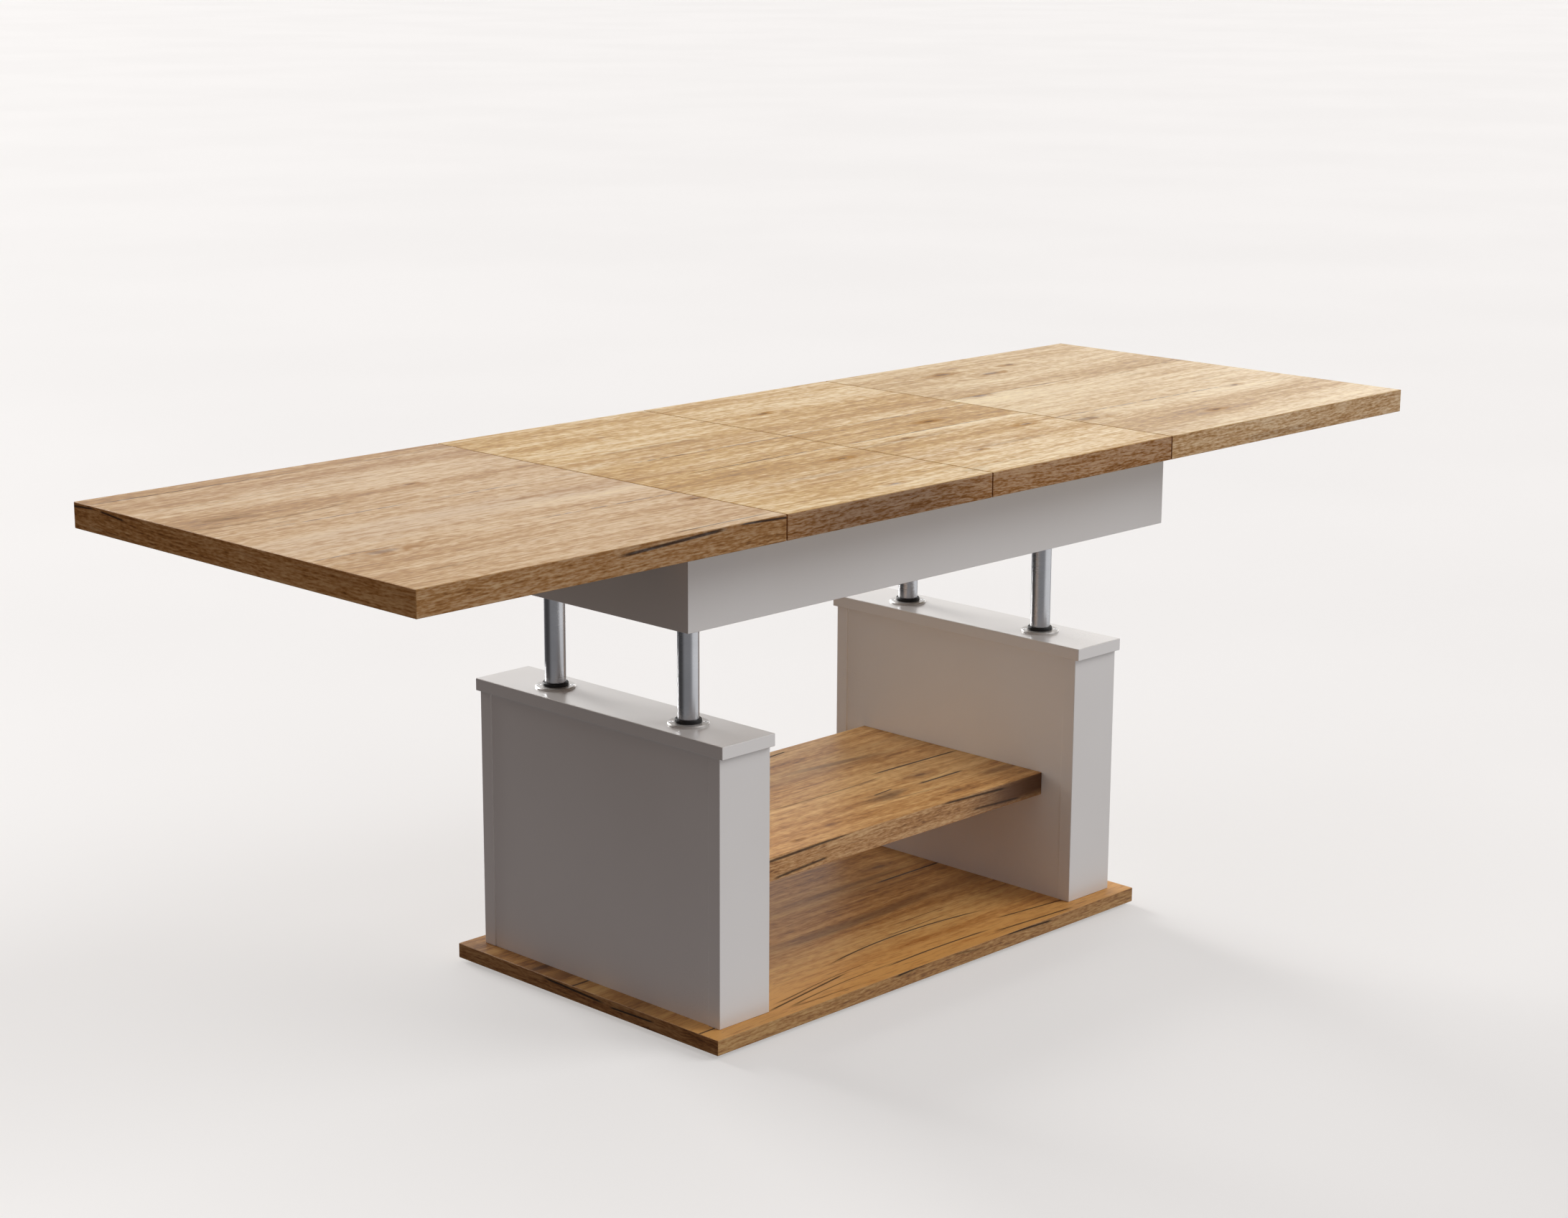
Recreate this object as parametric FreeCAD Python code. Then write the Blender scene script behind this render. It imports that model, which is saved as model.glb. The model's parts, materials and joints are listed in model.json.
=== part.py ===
"""Extending table on a lifting frame, in millimetres.

X runs along the table, Y across it and Z up. The origin is on the floor under the middle of the table,
and the near long side is at -Y. Two hollow pedestals stand on a base board and are tied by a shelf. Four
tubular posts slide in them and carry the apron. The top is two end panels on runners, and two loose leaves
between them. The table is drawn raised and fully extended.
"""

import FreeCAD
import Part
import os

# Top boards
END_PANEL_LENGTH = 600.0
LEAF_LENGTH = 400.0
TOP_WIDTH = 700.0
TOP_THICKNESS = 35.0
TOP_SEAM = 1.5
OAK_EDGE_RADIUS = 1.2

# Heights from the floor upwards
GLIDE_HEIGHT = 5.0
BASE_THICKNESS = 22.0
PEDESTAL_HEIGHT = 380.0
CAP_THICKNESS = 18.0
LIFT_TRAVEL = 160.0
LOWERED_GAP = 9.0
APRON_HEIGHT = 120.0
APRON_TOP_CLEARANCE = 1.0

# Pedestals, base board and shelf
PEDESTAL_SPACING = 742.0
PEDESTAL_WIDTH = 95.0
PEDESTAL_DEPTH = 488.0
STILE_THICKNESS = 22.0
PANEL_THICKNESS = 16.0
PANEL_RECESS = 2.0
CAP_SIDE_OVERHANG = 2.25
CAP_END_OVERHANG = 7.5
WHITE_EDGE_RADIUS = 1.0
BASE_END_MARGIN = 29.0
BASE_SIDE_MARGIN = 26.0
SHELF_THICKNESS = 35.0
SHELF_DEPTH = 368.0
SHELF_GAP = 158.0
GLIDE_DIAMETER = 32.0
GLIDE_INSET = 45.0
GLIDE_EDGE_RADIUS = 1.5

# Posts and their guides
POST_DIAMETER = 30.0
POST_WALL = 1.5
POST_SPACING = 271.0
POST_TAIL = 20.0
POST_FLOOR_CLEARANCE = 28.0
POST_GUIDE_CLEARANCE = 0.1
SLEEVE_WALL = 4.0
SLEEVE_TAIL = 20.0
GUIDE_BOARD_THICKNESS = 22.0
BATTEN_HEIGHT = 12.0
BATTEN_POST_CLEARANCE = 2.5
COLLAR_DIAMETER = 58.0
COLLAR_THICKNESS = 3.0
COLLAR_BEVEL = 1.5
COLLAR_POST_CLEARANCE = 0.5
COLLAR_SCREW_RADIUS = 23.5
WIPER_WALL = 3.5
WIPER_HEIGHT = 5.0
WIPER_LIP = 1.0
FLANGE_SIDE = 64.0
FLANGE_THICKNESS = 4.0
FLANGE_SCREW_OFFSET = 24.0

# Gas springs inside the posts
SPRING_DIAMETER = 20.0
SPRING_WALL = 1.5
SPRING_LENGTH = 290.0
SPRING_FOOT_DIAMETER = 44.0
SPRING_FOOT_HEIGHT = 4.0
SPRING_FOOT_SCREW_RADIUS = 16.0
SPRING_END_THICKNESS = 12.0
ROD_DIAMETER = 10.0
ROD_GUIDE_CLEARANCE = 0.1
PISTON_HEIGHT = 12.0
PISTON_CLEARANCE = 0.3
PISTON_STOP_GAP = 0.5
ROD_COLLAR_HEIGHT = 10.0
ROD_COLLAR_DROP = 12.0
ROD_TOP_DROP = 23.0
VALVE_PIN_DIAMETER = 5.0
VALVE_PIN_LENGTH = 14.0
VALVE_PIN_RISE = 6.0
VALVE_PIN_STROKE = 3.0
VALVE_PIN_CLEARANCE = 0.1

# Release levers under the apron floor
LEVER_SHAFT_DIAMETER = 8.0
LEVER_SHAFT_GAP = 5.0
LEVER_SHAFT_END = 14.0
LEVER_TONGUE_WIDTH = 8.0
LEVER_TONGUE_THICKNESS = 4.0
LEVER_TONGUE_GAP = 0.5
LEVER_TONGUE_REACH = 2.0
LEVER_WINDOW_CLEARANCE = 1.5
PADDLE_LENGTH = 62.0
PADDLE_WIDTH = 110.0
PADDLE_THICKNESS = 4.0
BEARING_SPACING = 176.0
BEARING_WIDTH = 16.0
BEARING_DEPTH = 20.0
BEARING_LIP = 4.0
BEARING_CLEARANCE = 0.1

# Apron and runners
APRON_END_MARGIN = 124.0
APRON_WIDTH = 530.0
APRON_THICKNESS = 18.0
APRON_EDGE_RADIUS = 1.0
FLOOR_RECESS = 22.0
FLOOR_THICKNESS = 12.0
CORNER_BLOCK_LEG = 20.0
CORNER_BLOCK_HEIGHT = 32.0
RUNNER_WIDTH = 15.0
RUNNER_HEIGHT = 32.0
RUNNER_UNDER_PANEL = 378.0
RUNNER_PAST_CENTRE = 20.0
RUNNER_SIDE_GAP = 9.0
RUNNER_NOTCH_CLEARANCE = 1.0
RUNNER_WEB_CLEARANCE = 0.5
TRACK_WEB = 4.0
TRACK_DROP = 2.0
TRACK_FOOT_WIDTH = 16.0
TRACK_FOOT_HEIGHT = 3.0
TRACK_SCREWS = 4
TONGUE_HEIGHT = 8.0
TONGUE_DEPTH = 5.0
TONGUE_CLEARANCE = 0.4
SLIDE_TRAVEL = 40.0
STOP_PEG_DIAMETER = 6.0
STOP_PEG_DEPTH = 10.0
STOP_PEG_DROP = 12.0
STOP_PEG_INSET = 10.0
STOP_BLOCK_LENGTH = 15.0
STOP_BLOCK_HEIGHT = 12.0
STOP_CLEARANCE = 0.3
STOP_BLOCK_RUNNER_CLEARANCE = 2.0
CLEAT_TONGUE_GAP = 1.0
CLEAT_CLEARANCE = 0.5
CLEAT_END_INSET = 50.0
CLEAT_RUNNER_GAP = 30.0

# Fasteners
FASTENER_CLEARANCE = 0.1
DOWEL_DIAMETER = 8.0
DOWEL_LENGTH = 34.0
DOWEL_SHORT_DEPTH = 11.0
DOWEL_END_GAP = 1.0
DOWEL_ROWS = 3
STILE_SCREW_OFFSET = 25.0
CONFIRMAT_HEAD = 10.0
CONFIRMAT_SHANK = 7.0
CONFIRMAT_LENGTH = 50.0
SHELF_SCREW_SPACING = 105.0
SMALL_SCREW_HEAD = 7.0
SMALL_SCREW_SHANK = 3.5
SMALL_SCREW_LENGTH = 13.0
RUNNER_SCREW_HEAD = 8.0
RUNNER_SCREW_SHANK = 4.0
RUNNER_SCREW_GRIP = 14.0
RUNNER_SCREWS = 3

SIDES = {"left": -1, "right": 1}
FACES = {"front": -1, "rear": 1}
UP = FreeCAD.Vector(0, 0, 1)
DOWN = FreeCAD.Vector(0, 0, -1)

# Levels
BASE_TOP = GLIDE_HEIGHT + BASE_THICKNESS
CAP_BOTTOM = BASE_TOP + PEDESTAL_HEIGHT
CAP_TOP = CAP_BOTTOM + CAP_THICKNESS
APRON_BOTTOM = CAP_TOP + LOWERED_GAP + LIFT_TRAVEL
APRON_TOP = APRON_BOTTOM + APRON_HEIGHT
TOP_BOTTOM = APRON_TOP + APRON_TOP_CLEARANCE
TOP_FACE = TOP_BOTTOM + TOP_THICKNESS
SHELF_BOTTOM = BASE_TOP + SHELF_GAP
SHELF_TOP = SHELF_BOTTOM + SHELF_THICKNESS
FLOOR_BOTTOM = APRON_BOTTOM + FLOOR_RECESS
FLOOR_TOP = FLOOR_BOTTOM + FLOOR_THICKNESS
POST_BOTTOM = BASE_TOP + POST_FLOOR_CLEARANCE + LIFT_TRAVEL
GUIDE_BOARD_BOTTOM = POST_BOTTOM + POST_TAIL
GUIDE_BOARD_TOP = GUIDE_BOARD_BOTTOM + GUIDE_BOARD_THICKNESS
COLLAR_TOP = CAP_TOP + COLLAR_THICKNESS
RUNNER_BOTTOM = TOP_BOTTOM - RUNNER_HEIGHT
TRACK_TOP = TOP_BOTTOM - TRACK_DROP
TONGUE_BOTTOM = TOP_BOTTOM - (RUNNER_HEIGHT + TONGUE_HEIGHT) / 2
ROD_TOP = FLOOR_BOTTOM - ROD_TOP_DROP
PIN_TOP = ROD_TOP + VALVE_PIN_RISE
LEVER_TONGUE_BOTTOM = PIN_TOP + LEVER_TONGUE_GAP
LEVER_SHAFT_LEVEL = LEVER_TONGUE_BOTTOM + LEVER_SHAFT_DIAMETER / 2

# Plan positions
PEDESTAL_X = PEDESTAL_SPACING / 2
POST_Y = POST_SPACING / 2
BASE_LENGTH = PEDESTAL_SPACING + PEDESTAL_WIDTH + 2 * BASE_END_MARGIN
BASE_DEPTH = PEDESTAL_DEPTH + 2 * BASE_SIDE_MARGIN
PANEL_FACE = PEDESTAL_WIDTH / 2 - PANEL_RECESS
HOLLOW_HALF = PANEL_FACE - PANEL_THICKNESS
STILE_INNER_Y = PEDESTAL_DEPTH / 2 - STILE_THICKNESS
STILE_MIDDLE_Y = PEDESTAL_DEPTH / 2 - STILE_THICKNESS / 2
SHELF_HALF = PEDESTAL_X - PANEL_FACE
LEAF_START = TOP_SEAM / 2
LEAF_END = LEAF_START + LEAF_LENGTH
PANEL_START = LEAF_END + TOP_SEAM
PANEL_END = PANEL_START + END_PANEL_LENGTH
APRON_HALF_LENGTH = PEDESTAL_X + APRON_END_MARGIN
APRON_HALF_WIDTH = APRON_WIDTH / 2
APRON_INNER_X = APRON_HALF_LENGTH - APRON_THICKNESS
APRON_INNER_Y = APRON_HALF_WIDTH - APRON_THICKNESS
OUTER_TRACK_FAR = APRON_INNER_Y - RUNNER_SIDE_GAP
OUTER_TRACK_NEAR = OUTER_TRACK_FAR - RUNNER_WIDTH
WEB_FAR = OUTER_TRACK_NEAR - RUNNER_WEB_CLEARANCE
WEB_NEAR = WEB_FAR - TRACK_WEB
INNER_TRACK_FAR = WEB_NEAR - RUNNER_WEB_CLEARANCE
INNER_TRACK_NEAR = INNER_TRACK_FAR - RUNNER_WIDTH
SLEEVE_RADIUS = POST_DIAMETER / 2 + POST_GUIDE_CLEARANCE + SLEEVE_WALL
LEVER_ARM = POST_DIAMETER / 2 + LEVER_SHAFT_GAP + LEVER_SHAFT_DIAMETER / 2
LEVER_X = PEDESTAL_X - LEVER_ARM

# The left runners use the outer tracks and the right runners the inner ones
TRACK_RANGES = {"left": (OUTER_TRACK_NEAR, OUTER_TRACK_FAR), "right": (INNER_TRACK_NEAR, INNER_TRACK_FAR)}


def vector(x, y, z):
    """Return a point or direction."""
    return FreeCAD.Vector(x, y, z)


def slab(x_range, y_range, z_range):
    """Return a box between two values on each axis, given in either order."""
    low = [min(pair) for pair in (x_range, y_range, z_range)]
    high = [max(pair) for pair in (x_range, y_range, z_range)]
    return Part.makeBox(high[0] - low[0], high[1] - low[1], high[2] - low[2], vector(*low))


def eased_slab(x_range, y_range, z_range, radius):
    """Return a box with every edge rounded."""
    board = slab(x_range, y_range, z_range)
    return board.makeFillet(radius, board.Edges)


def rod(point, direction, radius, length):
    """Return a solid cylinder that starts at a point."""
    return Part.makeCylinder(radius, length, point, direction)


def tube(point, outer_radius, inner_radius, length):
    """Return an upright tube that starts at a point."""
    return rod(point, UP, outer_radius, length).cut(rod(point, UP, inner_radius, length))


def turned(points, x, y):
    """Return the solid turned about the upright axis at x, y from (radius, height) points."""
    outline = [vector(x + radius, y, z) for radius, z in points]
    face = Part.Face(Part.makePolygon(outline + outline[:1]))
    return face.revolve(vector(x, y, 0), UP, 360)


def screw(point, direction, head, shank, length, clearance=0.0):
    """Return a countersunk screw with its head face at a point, or its hole where a clearance is given."""
    head_radius = head / 2 + clearance
    shank_radius = shank / 2 + clearance
    taper = head_radius - shank_radius
    cone = Part.makeCone(head_radius, shank_radius, taper, point, direction)
    return cone.fuse(rod(point, direction, shank_radius, length + clearance)).removeSplitter()


def small_screw(point, direction, clearance=0.0):
    """Return a small wood screw, or its hole."""
    return screw(point, direction, SMALL_SCREW_HEAD, SMALL_SCREW_SHANK, SMALL_SCREW_LENGTH, clearance)


def confirmat(point, direction, clearance=0.0):
    """Return a one-piece connecting screw, or its hole."""
    return screw(point, direction, CONFIRMAT_HEAD, CONFIRMAT_SHANK, CONFIRMAT_LENGTH, clearance)


def dowel(point, direction):
    """Return a dowel that enters one board by the short depth, seen from the joint face at a point."""
    start = point - direction * DOWEL_SHORT_DEPTH
    return rod(start, direction, DOWEL_DIAMETER / 2, DOWEL_LENGTH)


def dowel_hole(point, direction):
    """Return the hole for a dowel, a little deeper at both ends."""
    start = point - direction * (DOWEL_SHORT_DEPTH + DOWEL_END_GAP)
    radius = DOWEL_DIAMETER / 2 + FASTENER_CLEARANCE
    return rod(start, direction, radius, DOWEL_LENGTH + 2 * DOWEL_END_GAP)


def cut_all(board, cutters):
    """Return a board with a list of shapes cut away."""
    return board.cut(Part.makeCompound(cutters)) if cutters else board


def export(name, shapes):
    """Write one named node, either a single solid or a group of them."""
    solids = []
    for shape in shapes:
        solids.extend(shape.Solids)
    node = solids[0] if len(solids) == 1 else Part.makeCompound(solids)
    node.exportStep(os.path.join("parts", name + ".step"))


def post_axes():
    """Yield the plan position of each post, with its side and face."""
    for side, x_sign in SIDES.items():
        for face, y_sign in FACES.items():
            yield side, face, x_sign * PEDESTAL_X, y_sign * POST_Y


def spread(count, start, end):
    """Return evenly spaced values inside a span."""
    step = (end - start) / count
    return [start + step * (index + 0.5) for index in range(count)]


def glide_points():
    """Return the plan positions of the floor glides."""
    x_far = BASE_LENGTH / 2 - GLIDE_INSET
    y_far = BASE_DEPTH / 2 - GLIDE_INSET
    return [(x, y) for x in (-x_far, 0.0, x_far) for y in (-y_far, y_far)]


def stile_points():
    """Return the plan positions of the fixings in the stile ends."""
    points = []
    for x_sign in SIDES.values():
        for y_sign in FACES.values():
            for offset in (-STILE_SCREW_OFFSET, STILE_SCREW_OFFSET):
                points.append((x_sign * PEDESTAL_X + offset, y_sign * STILE_MIDDLE_Y))
    return points


def glide_screw_points():
    """Return the head points of the glide screws, sunk in the glides."""
    return [vector(x, y, GLIDE_HEIGHT / 4) for x, y in glide_points()]


def spring_foot_screw_points():
    """Return the head points of the screws in the gas spring feet."""
    level = BASE_TOP + SPRING_FOOT_HEIGHT
    points = []
    for _, _, x, y in post_axes():
        for y_sign in FACES.values():
            points.append(vector(x, y + y_sign * SPRING_FOOT_SCREW_RADIUS, level))
    return points


def collar_screw_points():
    """Return the head points of the collar screws, two on the diagonal of each post."""
    reach = COLLAR_SCREW_RADIUS / 2 ** 0.5
    points = []
    for _, _, x, y in post_axes():
        points.append(vector(x + reach, y - reach, COLLAR_TOP))
        points.append(vector(x - reach, y + reach, COLLAR_TOP))
    return points


def shelf_screw_points():
    """Return the head point and direction of each shelf screw, driven from inside the pedestals."""
    head_x = PEDESTAL_X - HOLLOW_HALF
    level = SHELF_BOTTOM + SHELF_THICKNESS / 2
    rows = (-SHELF_SCREW_SPACING, 0.0, SHELF_SCREW_SPACING)
    return [(vector(sign * head_x, y, level), vector(-sign, 0, 0)) for sign in SIDES.values() for y in rows]


def panel_dowel_points():
    """Return the joint point and direction of each dowel between the stiles and the broad panels."""
    points = []
    for x_sign in SIDES.values():
        for offset in (-1, 1):
            x = x_sign * PEDESTAL_X + offset * (HOLLOW_HALF + PANEL_THICKNESS / 2)
            for y_sign in FACES.values():
                for z in spread(DOWEL_ROWS, BASE_TOP, CAP_BOTTOM):
                    points.append((vector(x, y_sign * STILE_INNER_Y, z), vector(0, -y_sign, 0)))
    return points


def cap_dowel_points():
    """Return the joint point and direction of each dowel between the stiles and the caps."""
    return [(vector(x, y, CAP_BOTTOM), DOWN) for x, y in stile_points()]


def build_base():
    """Write the base board, its glides and the shelf."""
    board = eased_slab((-BASE_LENGTH / 2, BASE_LENGTH / 2), (-BASE_DEPTH / 2, BASE_DEPTH / 2),
                       (GLIDE_HEIGHT, BASE_TOP), OAK_EDGE_RADIUS)
    screws = [confirmat(vector(x, y, GLIDE_HEIGHT), UP, FASTENER_CLEARANCE) for x, y in stile_points()]
    screws += [small_screw(point, UP, FASTENER_CLEARANCE) for point in glide_screw_points()]
    screws += [small_screw(point, DOWN, FASTENER_CLEARANCE) for point in spring_foot_screw_points()]
    export("base_board", [cut_all(board, screws)])

    glides = []
    for x, y in glide_points():
        disc = rod(vector(x, y, 0), UP, GLIDE_DIAMETER / 2, GLIDE_HEIGHT)
        disc = disc.makeFillet(GLIDE_EDGE_RADIUS, disc.Edges[2:])
        sink = rod(vector(x, y, 0), UP, SMALL_SCREW_HEAD / 2 + FASTENER_CLEARANCE, GLIDE_HEIGHT / 4)
        hole = small_screw(vector(x, y, GLIDE_HEIGHT / 4), UP, FASTENER_CLEARANCE)
        glides.append(disc.cut(sink).cut(hole))
    export("floor_glides", glides)

    shelf = eased_slab((-SHELF_HALF, SHELF_HALF), (-SHELF_DEPTH / 2, SHELF_DEPTH / 2),
                       (SHELF_BOTTOM, SHELF_TOP), OAK_EDGE_RADIUS)
    holes = [confirmat(*place, FASTENER_CLEARANCE) for place in shelf_screw_points()]
    export("shelf", [cut_all(shelf, holes)])


def build_pedestal(side):
    """Write the boards of one pedestal."""
    sign = SIDES[side]
    centre = sign * PEDESTAL_X
    height = (BASE_TOP, CAP_BOTTOM)
    dowel_holes = [dowel_hole(*place) for place in panel_dowel_points() + cap_dowel_points()]
    shelf_holes = [confirmat(*place, FASTENER_CLEARANCE) for place in shelf_screw_points()]
    base_holes = [confirmat(vector(x, y, GLIDE_HEIGHT), UP, FASTENER_CLEARANCE) for x, y in stile_points()]

    for face, y_sign in FACES.items():
        stile = eased_slab((centre - PEDESTAL_WIDTH / 2, centre + PEDESTAL_WIDTH / 2),
                           (y_sign * STILE_INNER_Y, y_sign * PEDESTAL_DEPTH / 2), height, WHITE_EDGE_RADIUS)
        export(side + "_" + face + "_stile", [cut_all(stile, dowel_holes + base_holes)])

    for name, direction in (("outer", sign), ("inner", -sign)):
        panel = slab((centre + direction * HOLLOW_HALF, centre + direction * PANEL_FACE),
                     (-STILE_INNER_Y, STILE_INNER_Y), height)
        export(side + "_" + name + "_panel", [cut_all(panel, dowel_holes + shelf_holes)])

    half_width = PEDESTAL_WIDTH / 2 + CAP_SIDE_OVERHANG
    half_depth = PEDESTAL_DEPTH / 2 + CAP_END_OVERHANG
    cap = eased_slab((centre - half_width, centre + half_width), (-half_depth, half_depth),
                     (CAP_BOTTOM, CAP_TOP), WHITE_EDGE_RADIUS)
    holes = [small_screw(point, DOWN, FASTENER_CLEARANCE) for point in collar_screw_points()]
    for y_sign in FACES.values():
        foot = vector(centre, y_sign * POST_Y, CAP_BOTTOM)
        holes.append(rod(foot, UP, SLEEVE_RADIUS + FASTENER_CLEARANCE, CAP_THICKNESS))
    export(side + "_cap", [cut_all(cap, dowel_holes + holes)])

    board = slab((centre - HOLLOW_HALF, centre + HOLLOW_HALF), (-STILE_INNER_Y, STILE_INNER_Y),
                 (GUIDE_BOARD_BOTTOM, GUIDE_BOARD_TOP))
    for y_sign in FACES.values():
        foot = vector(centre, y_sign * POST_Y, GUIDE_BOARD_BOTTOM)
        board = board.cut(rod(foot, UP, SLEEVE_RADIUS + FASTENER_CLEARANCE, GUIDE_BOARD_THICKNESS))
    export(side + "_guide_board", [board])


def build_guides():
    """Write the sleeves, collars, wipers and battens that guide the posts."""
    post_radius = POST_DIAMETER / 2
    screw_holes = [small_screw(point, DOWN, FASTENER_CLEARANCE) for point in collar_screw_points()]
    upper = []
    lower = []
    collars = []
    wipers = []
    for _, _, x, y in post_axes():
        bore = post_radius + POST_GUIDE_CLEARANCE
        upper_foot = vector(x, y, CAP_BOTTOM - SLEEVE_TAIL)
        upper.append(tube(upper_foot, SLEEVE_RADIUS, bore, CAP_THICKNESS + SLEEVE_TAIL))
        lower_foot = vector(x, y, GUIDE_BOARD_BOTTOM)
        lower.append(tube(lower_foot, SLEEVE_RADIUS, bore, GUIDE_BOARD_THICKNESS))
        eye = post_radius + COLLAR_POST_CLEARANCE
        rim = COLLAR_DIAMETER / 2
        profile = [(eye, CAP_TOP), (rim, CAP_TOP), (rim, COLLAR_TOP - COLLAR_BEVEL),
                   (rim - COLLAR_BEVEL, COLLAR_TOP), (eye, COLLAR_TOP)]
        collars.append(cut_all(turned(profile, x, y), screw_holes))
        lip = post_radius + POST_GUIDE_CLEARANCE
        wiper_top = COLLAR_TOP + WIPER_HEIGHT
        wiper_rim = lip + WIPER_WALL
        profile = [(lip, COLLAR_TOP), (wiper_rim, COLLAR_TOP), (wiper_rim, wiper_top - WIPER_LIP),
                   (wiper_rim - WIPER_LIP, wiper_top), (lip, wiper_top)]
        wipers.append(turned(profile, x, y))
    export("guide_sleeves_upper", upper)
    export("guide_sleeves_lower", lower)
    export("post_collars", collars)
    export("wiper_rings", wipers)

    width = HOLLOW_HALF - post_radius - BATTEN_POST_CLEARANCE
    battens = []
    for x_sign in SIDES.values():
        for direction in (-1, 1):
            wall = x_sign * PEDESTAL_X + direction * HOLLOW_HALF
            battens.append(slab((wall - direction * width, wall), (-STILE_INNER_Y, STILE_INNER_Y),
                                (GUIDE_BOARD_BOTTOM - BATTEN_HEIGHT, GUIDE_BOARD_BOTTOM)))
    export("guide_battens", battens)


def build_base_fasteners():
    """Write the fasteners of the base, one node for each kind."""
    connecting = [confirmat(vector(x, y, GLIDE_HEIGHT), UP) for x, y in stile_points()]
    connecting += [confirmat(*place) for place in shelf_screw_points()]
    export("connecting_screws", connecting)
    export("joint_dowels", [dowel(*place) for place in panel_dowel_points() + cap_dowel_points()])
    hidden = [small_screw(point, UP) for point in glide_screw_points()]
    hidden += [small_screw(point, DOWN) for point in spring_foot_screw_points()]
    export("base_small_screws", hidden)
    export("collar_screws", [small_screw(point, DOWN) for point in collar_screw_points()])


def build_springs():
    """Write the gas springs: the cylinders stand on the base and the rods hang in the posts."""
    cylinders = []
    feet = []
    rods = []
    pins = {"left": [], "right": []}
    foot_holes = [small_screw(point, DOWN, FASTENER_CLEARANCE) for point in spring_foot_screw_points()]
    foot_top = BASE_TOP + SPRING_FOOT_HEIGHT
    bore = SPRING_DIAMETER / 2 - SPRING_WALL
    rod_radius = ROD_DIAMETER / 2
    cylinder_top = foot_top + SPRING_LENGTH
    piston_top = cylinder_top - SPRING_END_THICKNESS - PISTON_STOP_GAP
    for side, _, x, y in post_axes():
        foot = rod(vector(x, y, BASE_TOP), UP, SPRING_FOOT_DIAMETER / 2, SPRING_FOOT_HEIGHT)
        feet.append(cut_all(foot, foot_holes))
        body = rod(vector(x, y, foot_top), UP, SPRING_DIAMETER / 2, SPRING_LENGTH)
        chamber_floor = vector(x, y, foot_top + SPRING_END_THICKNESS)
        chamber = rod(chamber_floor, UP, bore, SPRING_LENGTH - 2 * SPRING_END_THICKNESS)
        eye = rod(chamber_floor, UP, rod_radius + ROD_GUIDE_CLEARANCE, SPRING_LENGTH)
        cylinders.append(body.cut(chamber).cut(eye))
        piston_bottom = piston_top - PISTON_HEIGHT
        piston = rod(vector(x, y, piston_bottom), UP, bore - PISTON_CLEARANCE, PISTON_HEIGHT)
        stem = rod(vector(x, y, piston_bottom), UP, rod_radius, ROD_TOP - piston_bottom)
        collar_bottom = ROD_TOP - ROD_COLLAR_DROP - ROD_COLLAR_HEIGHT
        collar = rod(vector(x, y, collar_bottom), UP, POST_DIAMETER / 2 - POST_WALL, ROD_COLLAR_HEIGHT)
        pin_bottom = PIN_TOP - VALVE_PIN_LENGTH
        well_depth = ROD_TOP - pin_bottom + VALVE_PIN_STROKE
        well_radius = VALVE_PIN_DIAMETER / 2 + VALVE_PIN_CLEARANCE
        well = rod(vector(x, y, ROD_TOP - well_depth), UP, well_radius, well_depth)
        rods.append(stem.fuse(piston).fuse(collar).cut(well))
        pins[side].append(rod(vector(x, y, pin_bottom), UP, VALVE_PIN_DIAMETER / 2, VALVE_PIN_LENGTH))
    export("spring_cylinders", cylinders)
    export("spring_feet", feet)
    export("spring_rods", rods)
    for side, shapes in pins.items():
        export(side + "_valve_pins", shapes)


def flange_screw_points():
    """Return the head points of the screws in the post flanges."""
    level = FLOOR_BOTTOM - FLANGE_THICKNESS
    points = []
    for _, _, x, y in post_axes():
        for x_step in (-FLANGE_SCREW_OFFSET, FLANGE_SCREW_OFFSET):
            for y_step in (-FLANGE_SCREW_OFFSET, FLANGE_SCREW_OFFSET):
                points.append(vector(x + x_step, y + y_step, level))
    return points


def build_posts():
    """Write the four posts, each with a window for the release tongue, and their flanges."""
    half = LEVER_TONGUE_WIDTH / 2 + LEVER_WINDOW_CLEARANCE
    window_bottom = LEVER_TONGUE_BOTTOM - VALVE_PIN_STROKE - LEVER_WINDOW_CLEARANCE
    window_top = LEVER_TONGUE_BOTTOM + LEVER_TONGUE_THICKNESS + LEVER_WINDOW_CLEARANCE
    flanges = []
    for side, face, x, y in post_axes():
        radius = POST_DIAMETER / 2
        post = tube(vector(x, y, POST_BOTTOM), radius, radius - POST_WALL, FLOOR_BOTTOM - POST_BOTTOM)
        window = slab((x - SIDES[side] * POST_DIAMETER, x), (y - half, y + half), (window_bottom, window_top))
        export("post_" + face + "_" + side, [post.cut(window)])
        plate = slab((x - FLANGE_SIDE / 2, x + FLANGE_SIDE / 2), (y - FLANGE_SIDE / 2, y + FLANGE_SIDE / 2),
                     (FLOOR_BOTTOM - FLANGE_THICKNESS, FLOOR_BOTTOM))
        holes = [small_screw(point, UP, FASTENER_CLEARANCE) for point in flange_screw_points()]
        holes.append(rod(vector(x, y, FLOOR_BOTTOM - FLANGE_THICKNESS), UP, radius, FLANGE_THICKNESS))
        flanges.append(cut_all(plate, holes))
    export("post_flanges", flanges)


def track_screw_points():
    """Return the head points of the screws through the feet of the runner tracks."""
    level = FLOOR_TOP + TRACK_FOOT_HEIGHT
    y = WEB_NEAR - TRACK_FOOT_WIDTH / 2
    rows = spread(TRACK_SCREWS, -APRON_INNER_X, APRON_INNER_X)
    return [vector(x, y_sign * y, level) for y_sign in FACES.values() for x in rows]


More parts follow.
